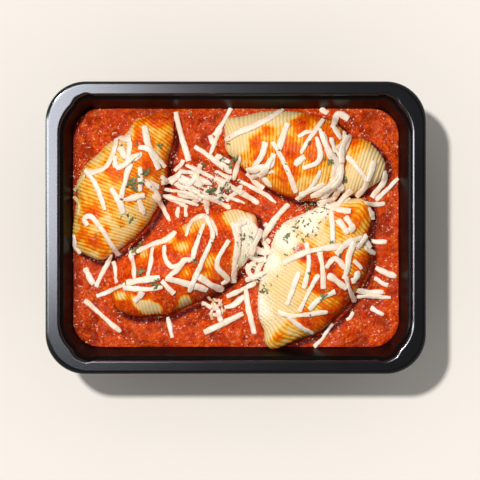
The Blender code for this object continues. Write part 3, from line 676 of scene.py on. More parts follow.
def make_wet_film():
    """The small lumps and pits of anything under tomato sauce, with smoother pools between, painted
    shade for the pits, and small painted glints for its colour.
    """
    tree, takes, gives = new_tree(
        "wet_film", "ShaderNodeTree",
        (("Place", "Vector", None), ("Lump Per Metre", "Float", 900.0), ("Pool", "Float", 0.5)),
        (("Height", "Float"), ("Roughness", "Float"), ("Pit", "Float"), ("Speck", "Float")))
    place, lump_per_metre = takes["Place"], takes["Lump Per Metre"]
    lumps = cloud(tree, place, lump_per_metre, 3.0, 0.6)
    cells = put(tree, "ShaderNodeTexVoronoi", {"feature": "SMOOTH_F1"}, Vector=place,
                Scale=times(tree, lump_per_metre, 1.5), Smoothness=0.6).outputs["Distance"]
    beads = stretched(tree, cells, 0.05, 0.65, 1.0, 0.0)
    pools = patches(tree, place, 130.0, 0.42, 0.62)
    kept = times(tree, times(tree, pools, takes["Pool"]), -0.6, plus=1.0)
    # Painted glints: small light specks gathered in clusters
    spots = patches(tree, place, 1150.0, 0.59, 0.69, 1.5)
    glint_patches = patches(tree, place, 320.0, 0.48, 0.58, 3.0)
    fill(tree, gives["Height"], times(tree, times(tree, beads, 0.25, plus=lumps), kept))
    fill(tree, gives["Roughness"], stretched(tree, lumps, 0.3, 0.7, 0.07, 0.14))
    # Painted shade in the pits between the lumps
    fill(tree, gives["Pit"], stretched(tree, lumps, 0.34, 0.50, 1.0, 0.0))
    fill(tree, gives["Speck"], times(tree, spots, glint_patches))
    return tree


def make_grain():
    """A fine even grain, for plastic, cheese and flakes."""
    tree, takes, gives = new_tree(
        "fine_grain", "ShaderNodeTree",
        (("Place", "Vector", None), ("Per Metre", "Float", 2500.0)), (("Height", "Float"),))
    fine = cloud(tree, takes["Place"], takes["Per Metre"], 2.0, 0.6)
    coarse = cloud(tree, takes["Place"], times(tree, takes["Per Metre"], 0.22), 1.0)
    fill(tree, gives["Height"], sums(tree, "ADD", fine, coarse))
    return tree


def new_material(name):
    """An empty material, its tree, its shader and its place on the object."""
    material = bpy.data.materials.new(name)
    material.use_nodes = True
    tree = material.node_tree
    tree.nodes.clear()
    out = tree.nodes.new("ShaderNodeOutputMaterial")
    shader = tree.nodes.new("ShaderNodeBsdfPrincipled")
    tree.links.new(shader.outputs["BSDF"], out.inputs["Surface"])
    place = tree.nodes.new("ShaderNodeTexCoord").outputs["Object"]
    return material, tree, shader, place


def attribute(tree, name):
    """A number that the mesh keeps for every point."""
    return put(tree, "ShaderNodeAttribute", {"attribute_name": name}).outputs["Fac"]


def bumped(tree, height, strength, distance):
    """The normal of a surface raised by a height."""
    return put(tree, "ShaderNodeBump", Height=height, Strength=strength, Distance=distance)


def mottled(tree, mottle, place, per_metre, first, second):
    """Two colours in soft patches, so many to the metre."""
    made = use_group(tree, mottle, Place=place, Per_Metre=per_metre, First=first, Second=second)
    return made["Colour"]


def grained(tree, grain, place, per_metre, strength, distance):
    """The normal of a surface with a fine grain."""
    texture = use_group(tree, grain, Place=place, Per_Metre=per_metre)["Height"]
    return bumped(tree, texture, strength, distance)


def set_shader(tree, shader, **inputs):
    for name, value in inputs.items():
        fill(tree, shader.inputs[name.replace("_", " ")], value)


def make_plastic(grain, mottle):
    """Black satin moulded plastic, with a thin film of sauce on the wall above the sauce."""
    material, tree, shader, place = new_material("tray_plastic")
    black = mottled(tree, mottle, place, 60.0, colour(7, 7, 8), colour(12, 12, 14))
    height = upward(tree, place)
    facing = upward(tree, put(tree, "ShaderNodeNewGeometry").outputs["Normal"])
    streaks = times(tree, patches(tree, place, 110.0, 0.42, 0.66, 4.0, 0.65), 0.25, plus=0.03)
    film = times(tree, stretched(tree, height, *FILM_HEIGHTS, 1.0, 0.0), streaks)
    film = times(tree, film, stretched(tree, facing, 0.0, 0.2))
    worn = patches(tree, place, 45.0, 0.3, 0.7, 3.0, to_low=0.12, to_high=0.17)
    dull = stretched(tree, height, *DULL_HEIGHTS, 0.18, 0.0)
    set_shader(tree, shader, Base_Color=mixed(tree, film, black, colour(84, 26, 10)),
               Roughness=sums(tree, "ADD", worn, dull), Specular_IOR_Level=0.02,
               Coat_Weight=stretched(tree, height, *POLISH_HEIGHTS, 0.12, 1.0), Coat_IOR=1.45,
               Coat_Roughness=sums(tree, "ADD", dull, 0.14),
               Normal=grained(tree, grain, place, 1800.0, 0.05, 0.1 * MM))
    return material


def make_sauce_finish(film, mottle):
    """Wet chunky tomato sauce: painted shade, deep red, in the pits, beside the pasta and by the left
    wall, lighter pulp, orange where it is oily, and painted glints.
    """
    material, tree, shader, place = new_material("tomato_sauce")
    wet = use_group(tree, film, Place=place, Lump_Per_Metre=680.0, Pool=0.2)
    pulp = patches(tree, place, 400.0, 0.49, 0.64, 4.0, 0.65)
    seeds = patches(tree, place, 1300.0, 0.60, 0.70, 1.0)
    oily = patches(tree, place, 60.0, 0.56, 0.74)
    shade_share = attribute(tree, "hollow")
    body = mottled(tree, mottle, place, 210.0, colour(198, 49, 0), colour(218, 68, 0))
    body = tinted(tree, body, pulp, 0.75, 238, 100, 0)
    body = tinted(tree, body, seeds, 0.4, 252, 138, 56)
    # Painted shade in the pits
    body = tinted(tree, body, wet["Pit"], 0.58, 146, 16, 0)
    body = tinted(tree, body, oily, 0.3, 226, 92, 6)
    # Painted shade, darkest where the painted shade is strongest
    body = mixed(tree, shade_share, body, colour(108, 10, 0))
    body = mixed(tree, stretched(tree, shade_share, 0.8, 1.0, 0.0, 0.5), body, colour(58, 6, 2))
    # Painted glints
    body = tinted(tree, body, wet["Speck"], 0.8, 255, 206, 172)
    set_shader(tree, shader, Base_Color=body, Roughness=wet["Roughness"], IOR=1.42,
               Specular_IOR_Level=0.2, Normal=bumped(tree, wet["Height"], 1.0, 0.75 * MM))
    return material


def make_pasta_finish(film):
    """Cooked pasta under a glaze of sauce that is thicker between the ridges, with painted shade
    between the ridges and on the edge away from the light, and painted glints.
    """
    material, tree, shader, place = new_material("glazed_pasta")
    coat, ridge = attribute(tree, "coat"), attribute(tree, "ridge")
    uneven = times(tree, cloud(tree, place, 420.0, 4.0, 0.62), 0.34, plus=-0.17)
    broad = times(tree, cloud(tree, place, 150.0), 0.24, plus=-0.12)
    bare = stretched(tree, coat, 0.40, 0.80, 1.0, 0.15)
    between = times(tree, times(tree, ridge, bare), -0.15)
    glaze = sums(tree, "ADD", sums(tree, "ADD", coat, between), sums(tree, "ADD", uneven, broad))
    tone = graded(tree, glaze, [(share, colour(*everyday)) for share, everyday in GLAZE_COLOURS])
    # Darker between the ridges: glaze pooled there, and painted shade
    valley = stretched(tree, ridge, -1.0, 0.5, 1.0, 0.0)
    valley = times(tree, valley, stretched(tree, coat, 0.05, 0.40, 0.45, 1.0))
    valley = times(tree, valley, stretched(tree, coat, 0.5, 0.85, 0.80, 0.20))
    tone = mixed(tree, valley, tone, VALLEY_GLAZE_AND_SHADE_TINT, "MULTIPLY")
    pulp = patches(tree, place, 700.0, 0.46, 0.66, 3.0, 0.6)
    tone = tinted(tree, tone, pulp, stretched(tree, glaze, 0.45, 0.85, 0.0, 0.55), 248, 124, 30)
    # Painted shade, brown, on the pasta's edge away from the light
    tone = mixed(tree, times(tree, attribute(tree, "shade"), 0.9), tone, PAINTED_SHADE_TINT, "MULTIPLY")
    strewn = times(tree, cloud(tree, place, 1500.0), 2.2, plus=-0.15)
    strewn = times(tree, attribute(tree, "dust"), strewn, clamp=True)
    tone = mixed(tree, strewn, tone, colour(255, 249, 228))
    wet = use_group(tree, film, Place=place, Lump_Per_Metre=700.0, Pool=0.5)
    # Painted glints on the wetter glaze
    tone = tinted(tree, tone, wet["Speck"], stretched(tree, glaze, 0.55, 0.9, 0.0, 0.4), 255, 210, 180)
    height = put(tree, "ShaderNodeMix", {"data_type": "FLOAT"}, i0=stretched(tree, glaze, 0.35, 0.85),
                 i2=cloud(tree, place, 900.0), i3=wet["Height"])
    set_shader(tree, shader, Base_Color=tone, Roughness=stretched(tree, glaze, 0.0, 0.6, 0.42, 0.24),
               IOR=1.42, Specular_IOR_Level=0.16, Normal=bumped(tree, height, 0.8, 0.32 * MM),
               Subsurface_Weight=0.08, Subsurface_Radius=(1.0, 0.4, 0.12), Subsurface_Scale=1.0 * MM)
    return material


def make_cheese_finish(grain, mottle):
    """Soft white cheese, every shred a little warmer or cooler than the next, with painted shade in
    warm orange on its steep sides.
    """
    material, tree, shader, place = new_material("grated_cheese")
    tone = attribute(tree, "tone")
    facing = upward(tree, put(tree, "ShaderNodeNewGeometry").outputs["Normal"])
    stain = patches(tree, place, 260.0, 0.56, 0.78, 3.0, 0.6)
    # Painted shade: the steep sides turn warm orange, broken up by the stains
    soaked = stretched(tree, times(tree, stain, -0.3, plus=facing), 0.0, 0.62, 0.5, 0.0)
    warm = mottled(tree, mottle, place, 170.0, colour(252, 239, 224), colour(250, 228, 206))
    warm = mixed(tree, times(tree, tone, 0.5, clamp=True), warm, colour(250, 222, 196))
    warm = mixed(tree, stretched(tree, tone, 1.0, 1.8, 0.0, 0.8), warm, colour(214, 166, 96))
    warm = tinted(tree, warm, stain, 0.34, 244, 178, 126)
    warm = mixed(tree, soaked, warm, colour(238, 150, 92))
    set_shader(tree, shader, Base_Color=warm, Roughness=0.42, IOR=1.45,
               Normal=grained(tree, grain, place, 1500.0, 0.4, 0.34 * MM),
               Subsurface_Weight=0.25, Subsurface_Radius=(1.0, 0.55, 0.42), Subsurface_Scale=1.0 * MM)
    return material


def make_stained_finish(film, mottle):
    """Cheese soaked with sauce, seen between the shreds of the heap, with painted shade in its pits and
    painted glints.
    """
    material, tree, shader, place = new_material("stained_cheese")
    wet = use_group(tree, film, Place=place, Lump_Per_Metre=800.0, Pool=0.2)
    soaked = mottled(tree, mottle, place, 330.0, colour(150, 22, 0), colour(214, 92, 40))
    # Painted shade in the pits
    soaked = tinted(tree, soaked, wet["Pit"], 0.6, 120, 14, 0)
    # Painted glints
    soaked = tinted(tree, soaked, wet["Speck"], 0.7, 255, 206, 190)
    set_shader(tree, shader, Base_Color=soaked, Roughness=wet["Roughness"], IOR=1.42,
               Specular_IOR_Level=0.3, Normal=bumped(tree, wet["Height"], 1.0, 0.5 * MM))
    return material


def make_crumb_finish(grain, mottle):
    """Dry, finely grated hard cheese."""
    material, tree, shader, place = new_material("parmesan_crumbs")
    pale = mottled(tree, mottle, place, 700.0, colour(255, 254, 246), colour(255, 250, 228))
    set_shader(tree, shader, Base_Color=pale, Roughness=0.6,
               Normal=grained(tree, grain, place, 4000.0, 0.3, 0.2 * MM))
    return material


def make_leaf_finish(grain, mottle):
    """Dried parsley, green with darker patches."""
    material, tree, shader, place = new_material("dried_parsley")
    green = mottled(tree, mottle, place, 520.0, colour(52, 68, 30), colour(112, 124, 66))
    green = tinted(tree, green, attribute(tree, "tone"), 0.5, 170, 172, 118)
    set_shader(tree, shader, Base_Color=green, Roughness=0.55,
               Normal=grained(tree, grain, place, 3000.0, 0.4, 0.2 * MM))
    return material


def make_table_finish(mottle):
    material, tree, shader, place = new_material("pale_table")
    pale = mottled(tree, mottle, place, 12.0, *TABLE_COLOURS)
    set_shader(tree, shader, Base_Color=pale, Roughness=0.9)
    return material


# The tray

def pocket_share(degrees):
    """How far a corner's small denesting pocket stands out at an angle from the long axis."""
    opens, full, closes, shut = POCKET_ANGLES
    return smooth_step(degrees, opens, full) * (1.0 - smooth_step(degrees, closes, shut))


def corner_radius(inset):
    """The radius of the tray's corner, which tightens down the wall and stays the same below it."""
    wall_reach = WALL_FOOT_INSET - FLANGE_WIDTH - EDGE_ROUND
    down_wall = min(max(inset - FLANGE_WIDTH - EDGE_ROUND, 0.0), wall_reach)
    return TRAY_CORNER - CORNER_TIGHTENING * down_wall


def tray_outline(inset, bulge=0.0):
    """Points round a rounded rectangle inset from the tray's outer edge, anticlockwise."""
    corner = corner_radius(inset)
    reach_x = TRAY_LENGTH / 2 - inset - corner
    reach_y = TRAY_WIDTH / 2 - inset - corner
    points = []
    for turn, (side_x, side_y) in enumerate(((1, 1), (-1, 1), (-1, -1), (1, -1))):
        for step in range(TRAY_ARC_STEPS + 1):
            angle = math.radians(90.0 * turn + 90.0 * step / TRAY_ARC_STEPS)
            from_long_axis = math.degrees(math.asin(min(1.0, abs(math.sin(angle)))))
            radius = corner + bulge * POCKET_BULGE * pocket_share(from_long_axis)
            points.append((side_x * reach_x + radius * math.cos(angle),
                           side_y * reach_y + radius * math.sin(angle)))
    return points


def wall_inset(height):
    """Inset of the tray's inner wall below its step."""
    top = TRAY_HEIGHT - STEP_DEPTH - EDGE_ROUND
    top_inset = FLANGE_WIDTH + EDGE_ROUND + STEP_WIDTH
    return top_inset + (top - height) / (top - WALL_FOOT_HEIGHT) * (WALL_FOOT_INSET - top_inset)


def rounded_profile(corners, steps=5):
    """A profile of (inset, height, pocket) points, from corners that have a radius too.

    A point close to each end of a curve keeps the flats between the curves flat in the light.
    """
    profile = []
    for index, (inset, height, pocket, radius) in enumerate(corners):
        if radius == 0.0:
            profile.append((inset, height, pocket))
            continue
        here = Vector((inset, height))
        before = Vector(corners[index - 1][:2]) - here
        after = Vector(corners[index + 1][:2]) - here
        cut = min(radius, 0.45 * before.length, 0.45 * after.length)
        start = here + before.normalized() * cut
        end = here + after.normalized() * cut
        spots = [start + before.normalized() * min(EDGE_HOLD, 0.3 * (before.length - cut))]
        for step in range(steps + 1):
            share = step / steps
            spots.append(start * (1 - share) ** 2 + here * 2 * share * (1 - share) + end * share ** 2)
        spots.append(end + after.normalized() * min(EDGE_HOLD, 0.3 * (after.length - cut)))
        profile.extend((spot.x, spot.y, pocket) for spot in spots)
    return profile


def make_tray(material):
    """The moulded tray as one closed skin, from the middle of its underside round to its floor."""
    step_top = TRAY_HEIGHT - STEP_DEPTH
    inner_edge = FLANGE_WIDTH + EDGE_ROUND
    skin = TRAY_SKIN
    underside = TRAY_HEIGHT - skin
    lip_foot = TRAY_HEIGHT - LIP_DROP
    # Inset, height, whether the corner pockets show there, and radius
    corners = (
        (FLOOR_INSET - 1.0 * MM, 0.0, 0, 0.0),
        (FLOOR_BEND_INSET - skin, FLOOR_BEND_HEIGHT - 0.6 * MM, 0, 1.2 * MM),
        (WALL_FOOT_INSET - skin, WALL_FOOT_HEIGHT - 0.3 * MM, 0, 1.5 * MM),
        (inner_edge + STEP_WIDTH - skin, step_top - EDGE_ROUND - skin, 1, 0.5 * MM),
        (inner_edge - skin, step_top - skin, 1, 0.5 * MM),
        (inner_edge - EDGE_ROUND - skin, underside, 1, 0.6 * MM),
        (skin, underside, 0, 0.6 * MM),
        (skin, lip_foot, 0, 0.2 * MM),
        (0.0, lip_foot, 0, 0.3 * MM),
        (0.0, TRAY_HEIGHT, 0, 1.5 * MM),
        (FLANGE_WIDTH, TRAY_HEIGHT, 1, 0.8 * MM),
        (inner_edge, step_top, 1, 0.7 * MM),
        (inner_edge + STEP_WIDTH, step_top - EDGE_ROUND, 1, 0.7 * MM),
        (WALL_FOOT_INSET, WALL_FOOT_HEIGHT, 0, 2.5 * MM),
        (FLOOR_BEND_INSET, FLOOR_BEND_HEIGHT, 0, 1.2 * MM),
        (FLOOR_INSET, skin, 0, 0.0),
    )
    points = [(x, y, height) for inset, height, pocket in rounded_profile(corners)
              for x, y in tray_outline(inset, pocket)]
    return capped_tube("tray_body", points, 4 * (TRAY_ARC_STEPS + 1), material)


# The pasta

def spot_sum(x, y, spots):
    """The sum of soft round spots, given in pixels of the photograph, at arrays of places."""
    total = np.zeros(len(x))
    for pixel_x, pixel_y, reach, amount in spots:
        middle_x, middle_y = at_photo(pixel_x, pixel_y)
        reach = reach * MM_PER_PIXEL * MM
        distance = ((x - middle_x) ** 2 + (y - middle_y) ** 2) / reach ** 2
        total += amount * np.exp(-distance ** 1.5)
    return total


def on_pasta(form, place, across, up):
    """Where on the object the points of a piece lie, across and up from the line along it."""
    slant = np.radians(form["turn"] + form["fan"] * (place - 0.5))
    along_piece = form["length"] * MM * (place - 0.5) - across * np.sin(slant)
    across_piece = form["bow"] * MM * 4.0 * place * (1.0 - place) + across * np.cos(slant)
    middle = [number * MM for number in form["middle"]]
    x, y = turned(along_piece, across_piece, form["heading"], middle)
    return np.stack([x, y, WIDEST_HEIGHT + up], axis=-1)


def glaze_over(form, flat, patches_of_noise, cos_turn, sin_back, on_back):
    """How red the glaze is at every point, and how much painted shade it gets.

    It is redder near the edge on the side away from the light, partly as painted shade, and bare near
    the edge of the lit side, partly as painted light.
    """
    middling = patches_of_noise[1]
    coat = form["coat"] + spot_sum(flat[:, 0], flat[:, 1], form["spots"]).reshape(middling.shape)
    for share, patch in zip(GLAZE_PATCHES, patches_of_noise):
        coat = coat + share * patch
    heading = math.radians(form["heading"])
    outwards = -math.sin(heading) * np.sign(cos_turn), math.cos(heading) * np.sign(cos_turn)
    shaded_side = outwards[0] * AWAY_FROM_LIGHT[0] + outwards[1] * AWAY_FROM_LIGHT[1]
    # Glaze added on the side away from the light is partly painted shade; glaze taken off the lit side
    # is partly painted light
    run = SHADED_SIDE_GLAZE * np.maximum(shaded_side, 0.0) - LIT_SIDE_BARE * np.maximum(-shaded_side, 0.0)
    near_edge = (1.0 - smooth_step(sin_back, *RUN_BAND)) * on_back
    coat = coat + run * near_edge * smooth_step(middling, *RUN_BREAKS)
    amount, turning, width = GLAZE_CONTRAST
    coat = np.clip(coat + amount * np.tanh((coat - turning) / width), 0.0, 1.0)
    # The second value is painted shade for the edge on the side away from the light
    return coat, np.maximum(shaded_side, 0.0) * (1.0 - smooth_step(sin_back, *SHADE_BAND)) * on_back


def pull_outline(points, pulls):
    """Pulls points sideways, each pull around a pixel of the photograph."""
    shift = np.zeros(points.shape[:-1] + (2,))
    for pixel_x, pixel_y, reach, shift_x, shift_y in pulls:
        middle_x, middle_y = at_photo(pixel_x, pixel_y)
        away = (points[..., 0] - middle_x) ** 2 + (points[..., 1] - middle_y) ** 2
        near = np.exp(-away / (reach * MM_PER_PIXEL * MM) ** 2)[..., None]
        shift += near * np.array([shift_x, shift_y]) * MM
    points[..., :2] += shift


def pointed_tube(name, rings, material):
    """A closed object from rings of points, drawn together to a point at both ends."""
    rows, columns = rings.shape[:2]
    faces = tube_faces(rows, columns)
    first_tip, last_tip = rows * columns, rows * columns + 1
    for column in range(columns):
        after = (column + 1) % columns
        faces.append((first_tip, after, column))
        faces.append((last_tip, (rows - 1) * columns + column, (rows - 1) * columns + after))
    tips = [rings[0].mean(axis=0), rings[-1].mean(axis=0)]
    return face_out(new_object(name, np.concatenate([rings.reshape(-1, 3), tips]), faces, material))


def make_pasta(node, form, material):
    """One closed ridged piece of pasta, with its glaze kept as a number at every point.

    Rows of points run along the piece. Columns run over its back and then under its belly.
    """
    rows = RIDGE_COUNT * ROWS_PER_RIDGE
    place = ((np.arange(rows) + 0.5) / rows)[:, None]
    back = np.linspace(0.0, math.pi, BACK_COLUMNS + 1)
    belly = np.linspace(0.0, math.pi, BELLY_COLUMNS + 1)[1:-1]
    power = 2.0 / UNDERSIDE_POWER
    shape = (rows, len(back) + len(belly))
    cos_turn = np.concatenate([np.cos(back), -np.sign(np.cos(belly)) * np.abs(np.cos(belly)) ** power])
    sin_back = np.concatenate([np.sin(back), np.zeros(len(belly))])
    sin_belly = np.concatenate([np.zeros(len(back)), np.sin(belly) ** power])
    on_back = np.concatenate([np.ones(len(back)), np.zeros(len(belly))])

    # The plain form: widest at its own place and pinched at its crease
    swell = np.sin(math.pi * place ** (math.log(0.5) / math.log(form["widest"])))
    swell = np.clip(swell, 0.0, 1.0)
    crease_place, crease_depth, crease_spread = form["crease"]
    pinch = 1.0 - crease_depth * np.exp(-((place - crease_place) / crease_spread) ** 2)
    half_width = form["half_width"] * MM * swell ** form["taper"] * (0.5 + 0.5 * pinch)
    rise = form["rise"] * MM * swell ** HEIGHT_TAPER * pinch
    depth = UNDERSIDE_DEPTH * swell ** UNDERSIDE_TAPER
    across = cos_turn * half_width
    up = sin_back * rise - sin_belly * depth
    flat = on_pasta(form, place, across, up).reshape(-1, 3)
    broad, middling, fine = (noise_at(flat, size, seed).reshape(shape) for size, seed in PASTA_NOISE)

    coat, shade = glaze_over(form, flat, (broad, middling, fine), cos_turn, sin_back, on_back)
    dust = spot_sum(flat[:, 0], flat[:, 1], [(*spot, 1.0) for spot in form["dust"]])
    dust = np.clip(dust, 0.0, 1.0).reshape(shape) * (sin_back > DUST_FROM)

    # Ridges, lower towards the edge and under thick glaze and crumbs, on a gently uneven back
    phase = place * RIDGE_COUNT + RIDGE_WAVER * broad
    crest = np.abs(np.cos(math.pi * phase)) ** RIDGE_POWER
    strength = np.minimum(1.0, 0.45 + 1.2 * sin_back) * on_back * (1.0 + 0.6 * middling)
    thin = 1.0 - RIDGE_LOST_IN_GLAZE * smooth_step(coat, 0.35, 0.95)
    thin = thin * (1.0 - RIDGE_LOST_IN_DUST * dust)
    lift = RIDGE_DEPTH * (crest - RIDGE_MIDDLE) * strength * thin
    dents = BACK_DENTS[0] * broad + BACK_DENTS[1] * middling
    lift = lift + dents * MM * smooth_step(sin_back, 0.1, 0.5)
    lift = lift + GLAZE_THICKNESS * smooth_step(coat, 0.5, 0.95) * (0.6 + fine) * on_back
    distance = np.hypot(across, up)
    scale = (distance + lift) / np.maximum(distance, 1e-6)
    points = on_pasta(form, place, across * scale, up * scale)
    pull_outline(points, PULLS[node])
    made = pointed_tube(node.replace("pasta_shell", "pasta"), points, material)

    def with_tips(values, at_tips=0.0):
        return np.append(values * np.ones(shape), [at_tips, at_tips])

    add_values(made, coat=with_tips(coat, 0.5), ridge=with_tips(2.0 * crest - 1.0),
               dust=with_tips(dust), shade=with_tips(shade))
    return made


# The sauce

def half_width_at(y, inset):
    """Half the width, across one row, of a rounded rectangle inset from the tray's outer edge."""
    corner = corner_radius(inset)
    over = max(abs(y) - (TRAY_WIDTH / 2 - inset - corner), 0.0)
    return TRAY_LENGTH / 2 - inset - corner + math.sqrt(max(corner ** 2 - over ** 2, 0.0))


def sauce_grid(inset):
    """Places of a grid that fills a rounded rectangle, as an array of rows."""
    columns, rows = SAUCE_GRID
    half_y = TRAY_WIDTH / 2 - inset
    bend = 0.25 * math.pi
    grid = np.zeros((rows + 1, columns + 1, 2))
    for row in range(rows + 1):
        y = half_y * math.sin(bend * (2.0 * row / rows - 1.0)) / math.sin(bend)
        reach = half_width_at(y, inset)
        grid[row, :, 0] = np.linspace(-reach, reach, columns + 1)
        grid[row, :, 1] = y
    return grid


def rim_of(grid):
    """The outer points of a grid, anticlockwise."""
    return np.concatenate([grid[0, :-1], grid[:-1, -1], grid[-1, :0:-1], grid[:0:-1, 0]])


def make_sauce(pasta_tree, material):
    """A closed body of sauce with a lumpy top, sunk below the pasta where that lies in it."""
    edge = wall_inset(SAUCE_LEVEL) + GAP
    grid = sauce_grid(edge)
    rows, columns = grid.shape[:2]
    total = rows * columns
    places = np.concatenate([grid.reshape(-1, 2), np.full((total, 1), SAUCE_LEVEL)], axis=1)
    lumps = noise_at(places, SAUCE_LUMP_SPACING) * SAUCE_LUMP * SAUCE_LUMP_GAIN
    chunks = sum(noise_at(places, size, 4.0) * height for size, height in SAUCE_CHUNKS)
    pulp = np.array([noise.voronoi(Vector(place) / SAUCE_PULP_SIZE)[0][0] for place in places])
    chunks = chunks + SAUCE_PULP_RISE * (1.0 - smooth_step(pulp, *SAUCE_PULP_BAND)) - SAUCE_CHUNK_DROP
    to_edge = np.array([
        min(half_width_at(y, edge) - abs(x), TRAY_WIDTH / 2 - edge - abs(y)) for x, y, z in places])
    chunks = chunks * (0.4 + 0.6 * smooth_step(to_edge, 0.0, SAUCE_CALM_EDGE))
    inwards = smooth_step(to_edge, 0.0, SAUCE_DIP_EDGE)
    height = SAUCE_LEVEL + lumps + chunks - SAUCE_EDGE_DIP * (1.0 - inwards)
    # Painted shade: darker in the pits between the lumps
    hollow = PIT_SHADE * (1.0 - smooth_step(0.5 * lumps + 1.4 * chunks, *PIT_DEPTHS))
    # Painted shadow of the left wall on the sauce beside it
    to_left = np.array([x + half_width_at(y, edge) for x, y, z in places])
    from_left = smooth_step(to_left, 0.0, LEFT_WALL_REACH)
    hollow = np.maximum(hollow, LEFT_WALL_SHADE * (1.0 - from_left))

    # Beside the pasta the sauce gets a painted shadow on the side away from the light, and creeps up
    # it, and below it is sunk
    up = Vector((0.0, 0.0, 1.0))
    for index, (x, y, z) in enumerate(places):
        lee = Vector((x - LEE_SHADOW_REACH * AWAY_FROM_LIGHT[0], y - LEE_SHADOW_REACH * AWAY_FROM_LIGHT[1], height[index]))
        beside = pasta_tree.find_nearest(lee, LEE_SHADOW_REACH)[3]
        if beside is not None:
            shaded = 1.0 - float(smooth_step(beside, 0.15 * LEE_SHADOW_REACH, LEE_SHADOW_REACH))
            hollow[index] = max(hollow[index], shaded)
        near = pasta_tree.find_nearest(Vector((x, y, height[index])), CREEP_REACH)[3]
        if near is not None:
            height[index] += CREEP_RISE * (1.0 - near / CREEP_REACH) ** 2
        under = pasta_tree.ray_cast(Vector((x, y, 0.0)), up)[0]
        if under is not None:
            sunk = float(smooth_step(SAUCE_LEVEL - under.z, *SUNK_DEPTHS))
            height[index] += sunk * (under.z - GAP - height[index])

    points = [np.concatenate([grid.reshape(-1, 2), height[:, None]], axis=1)]
    faces = []
    for row in range(rows - 1):
        for corner in range(row * columns, row * columns + columns - 1):
            faces.append((corner, corner + 1, corner + columns + 1, corner + columns))
    above = list(rim_of(np.arange(total).reshape(rows, columns)))
    around = len(above)
    for inset, level in ((WALL_FOOT_INSET + SAUCE_FOOT_GAP, WALL_FOOT_HEIGHT),
                         (FLOOR_INSET + GAP, TRAY_SKIN + GAP)):
        rim = rim_of(sauce_grid(inset))
        points.append(np.concatenate([rim, np.full((around, 1), level)], axis=1))
        below = list(range(total, total + around))
        for step in range(around):
            after = (step + 1) % around
            faces.append((above[step], below[step], below[after], above[after]))
        above = below
        total += around
    faces.append(tuple(reversed(above)))
    made = face_out(new_object("tomato_sauce_body", np.concatenate(points), faces, material))
    add_values(made, hollow=np.pad(hollow, (0, total - rows * columns)))
    return made


# The mound of cheese

def make_mound(material):
    """The low sauce-stained core of the heap of cheese, as a closed dome with a sunk foot."""
    rows, around = HEAP_GRID
    (lobes, lobe), (ripples, ripple) = HEAP_LOBES
    points = []
    for row in range(-2, rows):
        share = max(row, 0) / rows
        height = SAUCE_LEVEL + HEAP_RISE * math.sin(share * math.pi / 2)
        if row < 0:
            height = SAUCE_LEVEL - HEAP_SINK * (1.0 if row == -2 else 0.4)
        for step in range(around):
            angle = 2 * math.pi * step / around
            uneven = 1.0 + lobe * math.sin(lobes * angle) + ripple * math.cos(ripples * angle)
            spread = uneven * math.cos(share * math.pi / 2) ** HEAP_DOME_POWER
            x, y = turned(HEAP_HALF_LENGTH * spread * math.cos(angle),
                          HEAP_HALF_WIDTH * spread * math.sin(angle), HEAP_HEADING, HEAP_MIDDLE)
            bump = noise.noise(Vector((x, y, height)) / HEAP_BUMP_SIZE) * HEAP_BUMP * share
            points.append((x, y, height + bump - HEAP_SETTLE * share))
    return capped_tube("cheese_mound", points, around, material)


# Laying things on what is already there

class Heights:
    """A fine grid of the height of everything laid so far, seen from above."""

    def __init__(self, tree):
        self.grid = np.full([int(2 * half / HEIGHTS_STEP) + 1 for half in HEIGHTS_HALF], SAUCE_LEVEL)
        half_y, half_x = HEIGHTS_HALF
        down = Vector((0.0, 0.0, -1.0))
        for row, column in np.ndindex(self.grid.shape):
            x, y = column * HEIGHTS_STEP - half_x, row * HEIGHTS_STEP - half_y
            hit = tree.ray_cast(Vector((x, y, HEIGHTS_FROM)), down)[0]
            if hit is not None:
                self.grid[row, column] = hit.z

    def cells(self, x, y):
        spots = [np.rint((value + half) / HEIGHTS_STEP).astype(int)
                 for value, half in zip((y, x), HEIGHTS_HALF)]
        return tuple(np.clip(spot, 0, size - 1) for spot, size in zip(spots, self.grid.shape))

    def at(self, x, y):
        return self.grid[self.cells(x, y)]

    def raise_to(self, x, y, z):
        np.maximum.at(self.grid, self.cells(x, y), z)


def smooth_path(pixels):
    """Evenly spaced places along a smooth line through pixels of the photograph."""
    line = knots = np.array([at_photo(*pixel) for pixel in pixels])
    if len(knots) > 2:
        ends = np.concatenate([[2 * knots[0] - knots[1]], knots, [2 * knots[-1] - knots[-2]]])
        line = []
        for index in range(len(knots) - 1):
            a, b, c, d = ends[index:index + 4]
            for share in np.linspace(0.0, 1.0, STEPS_BETWEEN_PIXELS, endpoint=False):
                line.append(0.5 * (2 * b + (c - a) * share + (2 * a - 5 * b + 4 * c - d) * share ** 2
                                   + (3 * b - 3 * c + d - a) * share ** 3))
        line = np.array([*line, knots[-1]])
    lengths = np.concatenate([[0.0], np.cumsum(np.hypot(*np.diff(line, axis=0).T))])
    steps = max(int(round(lengths[-1] / PATH_STEP)), PATH_FEWEST_STEPS)
    spots = np.linspace(0.0, lengths[-1], steps + 1)
    return np.stack([np.interp(spots, lengths, line[:, side]) for side in (0, 1)], axis=1)


def softened(values, reach=2):
    """Values averaged with their neighbours along a line."""
    weights = np.exp(-0.5 * (np.arange(-2 * reach, 2 * reach + 1) / reach) ** 2)
    padded = np.pad(values, 2 * reach, mode="edge")
    return np.convolve(padded, weights / weights.sum(), mode="valid")


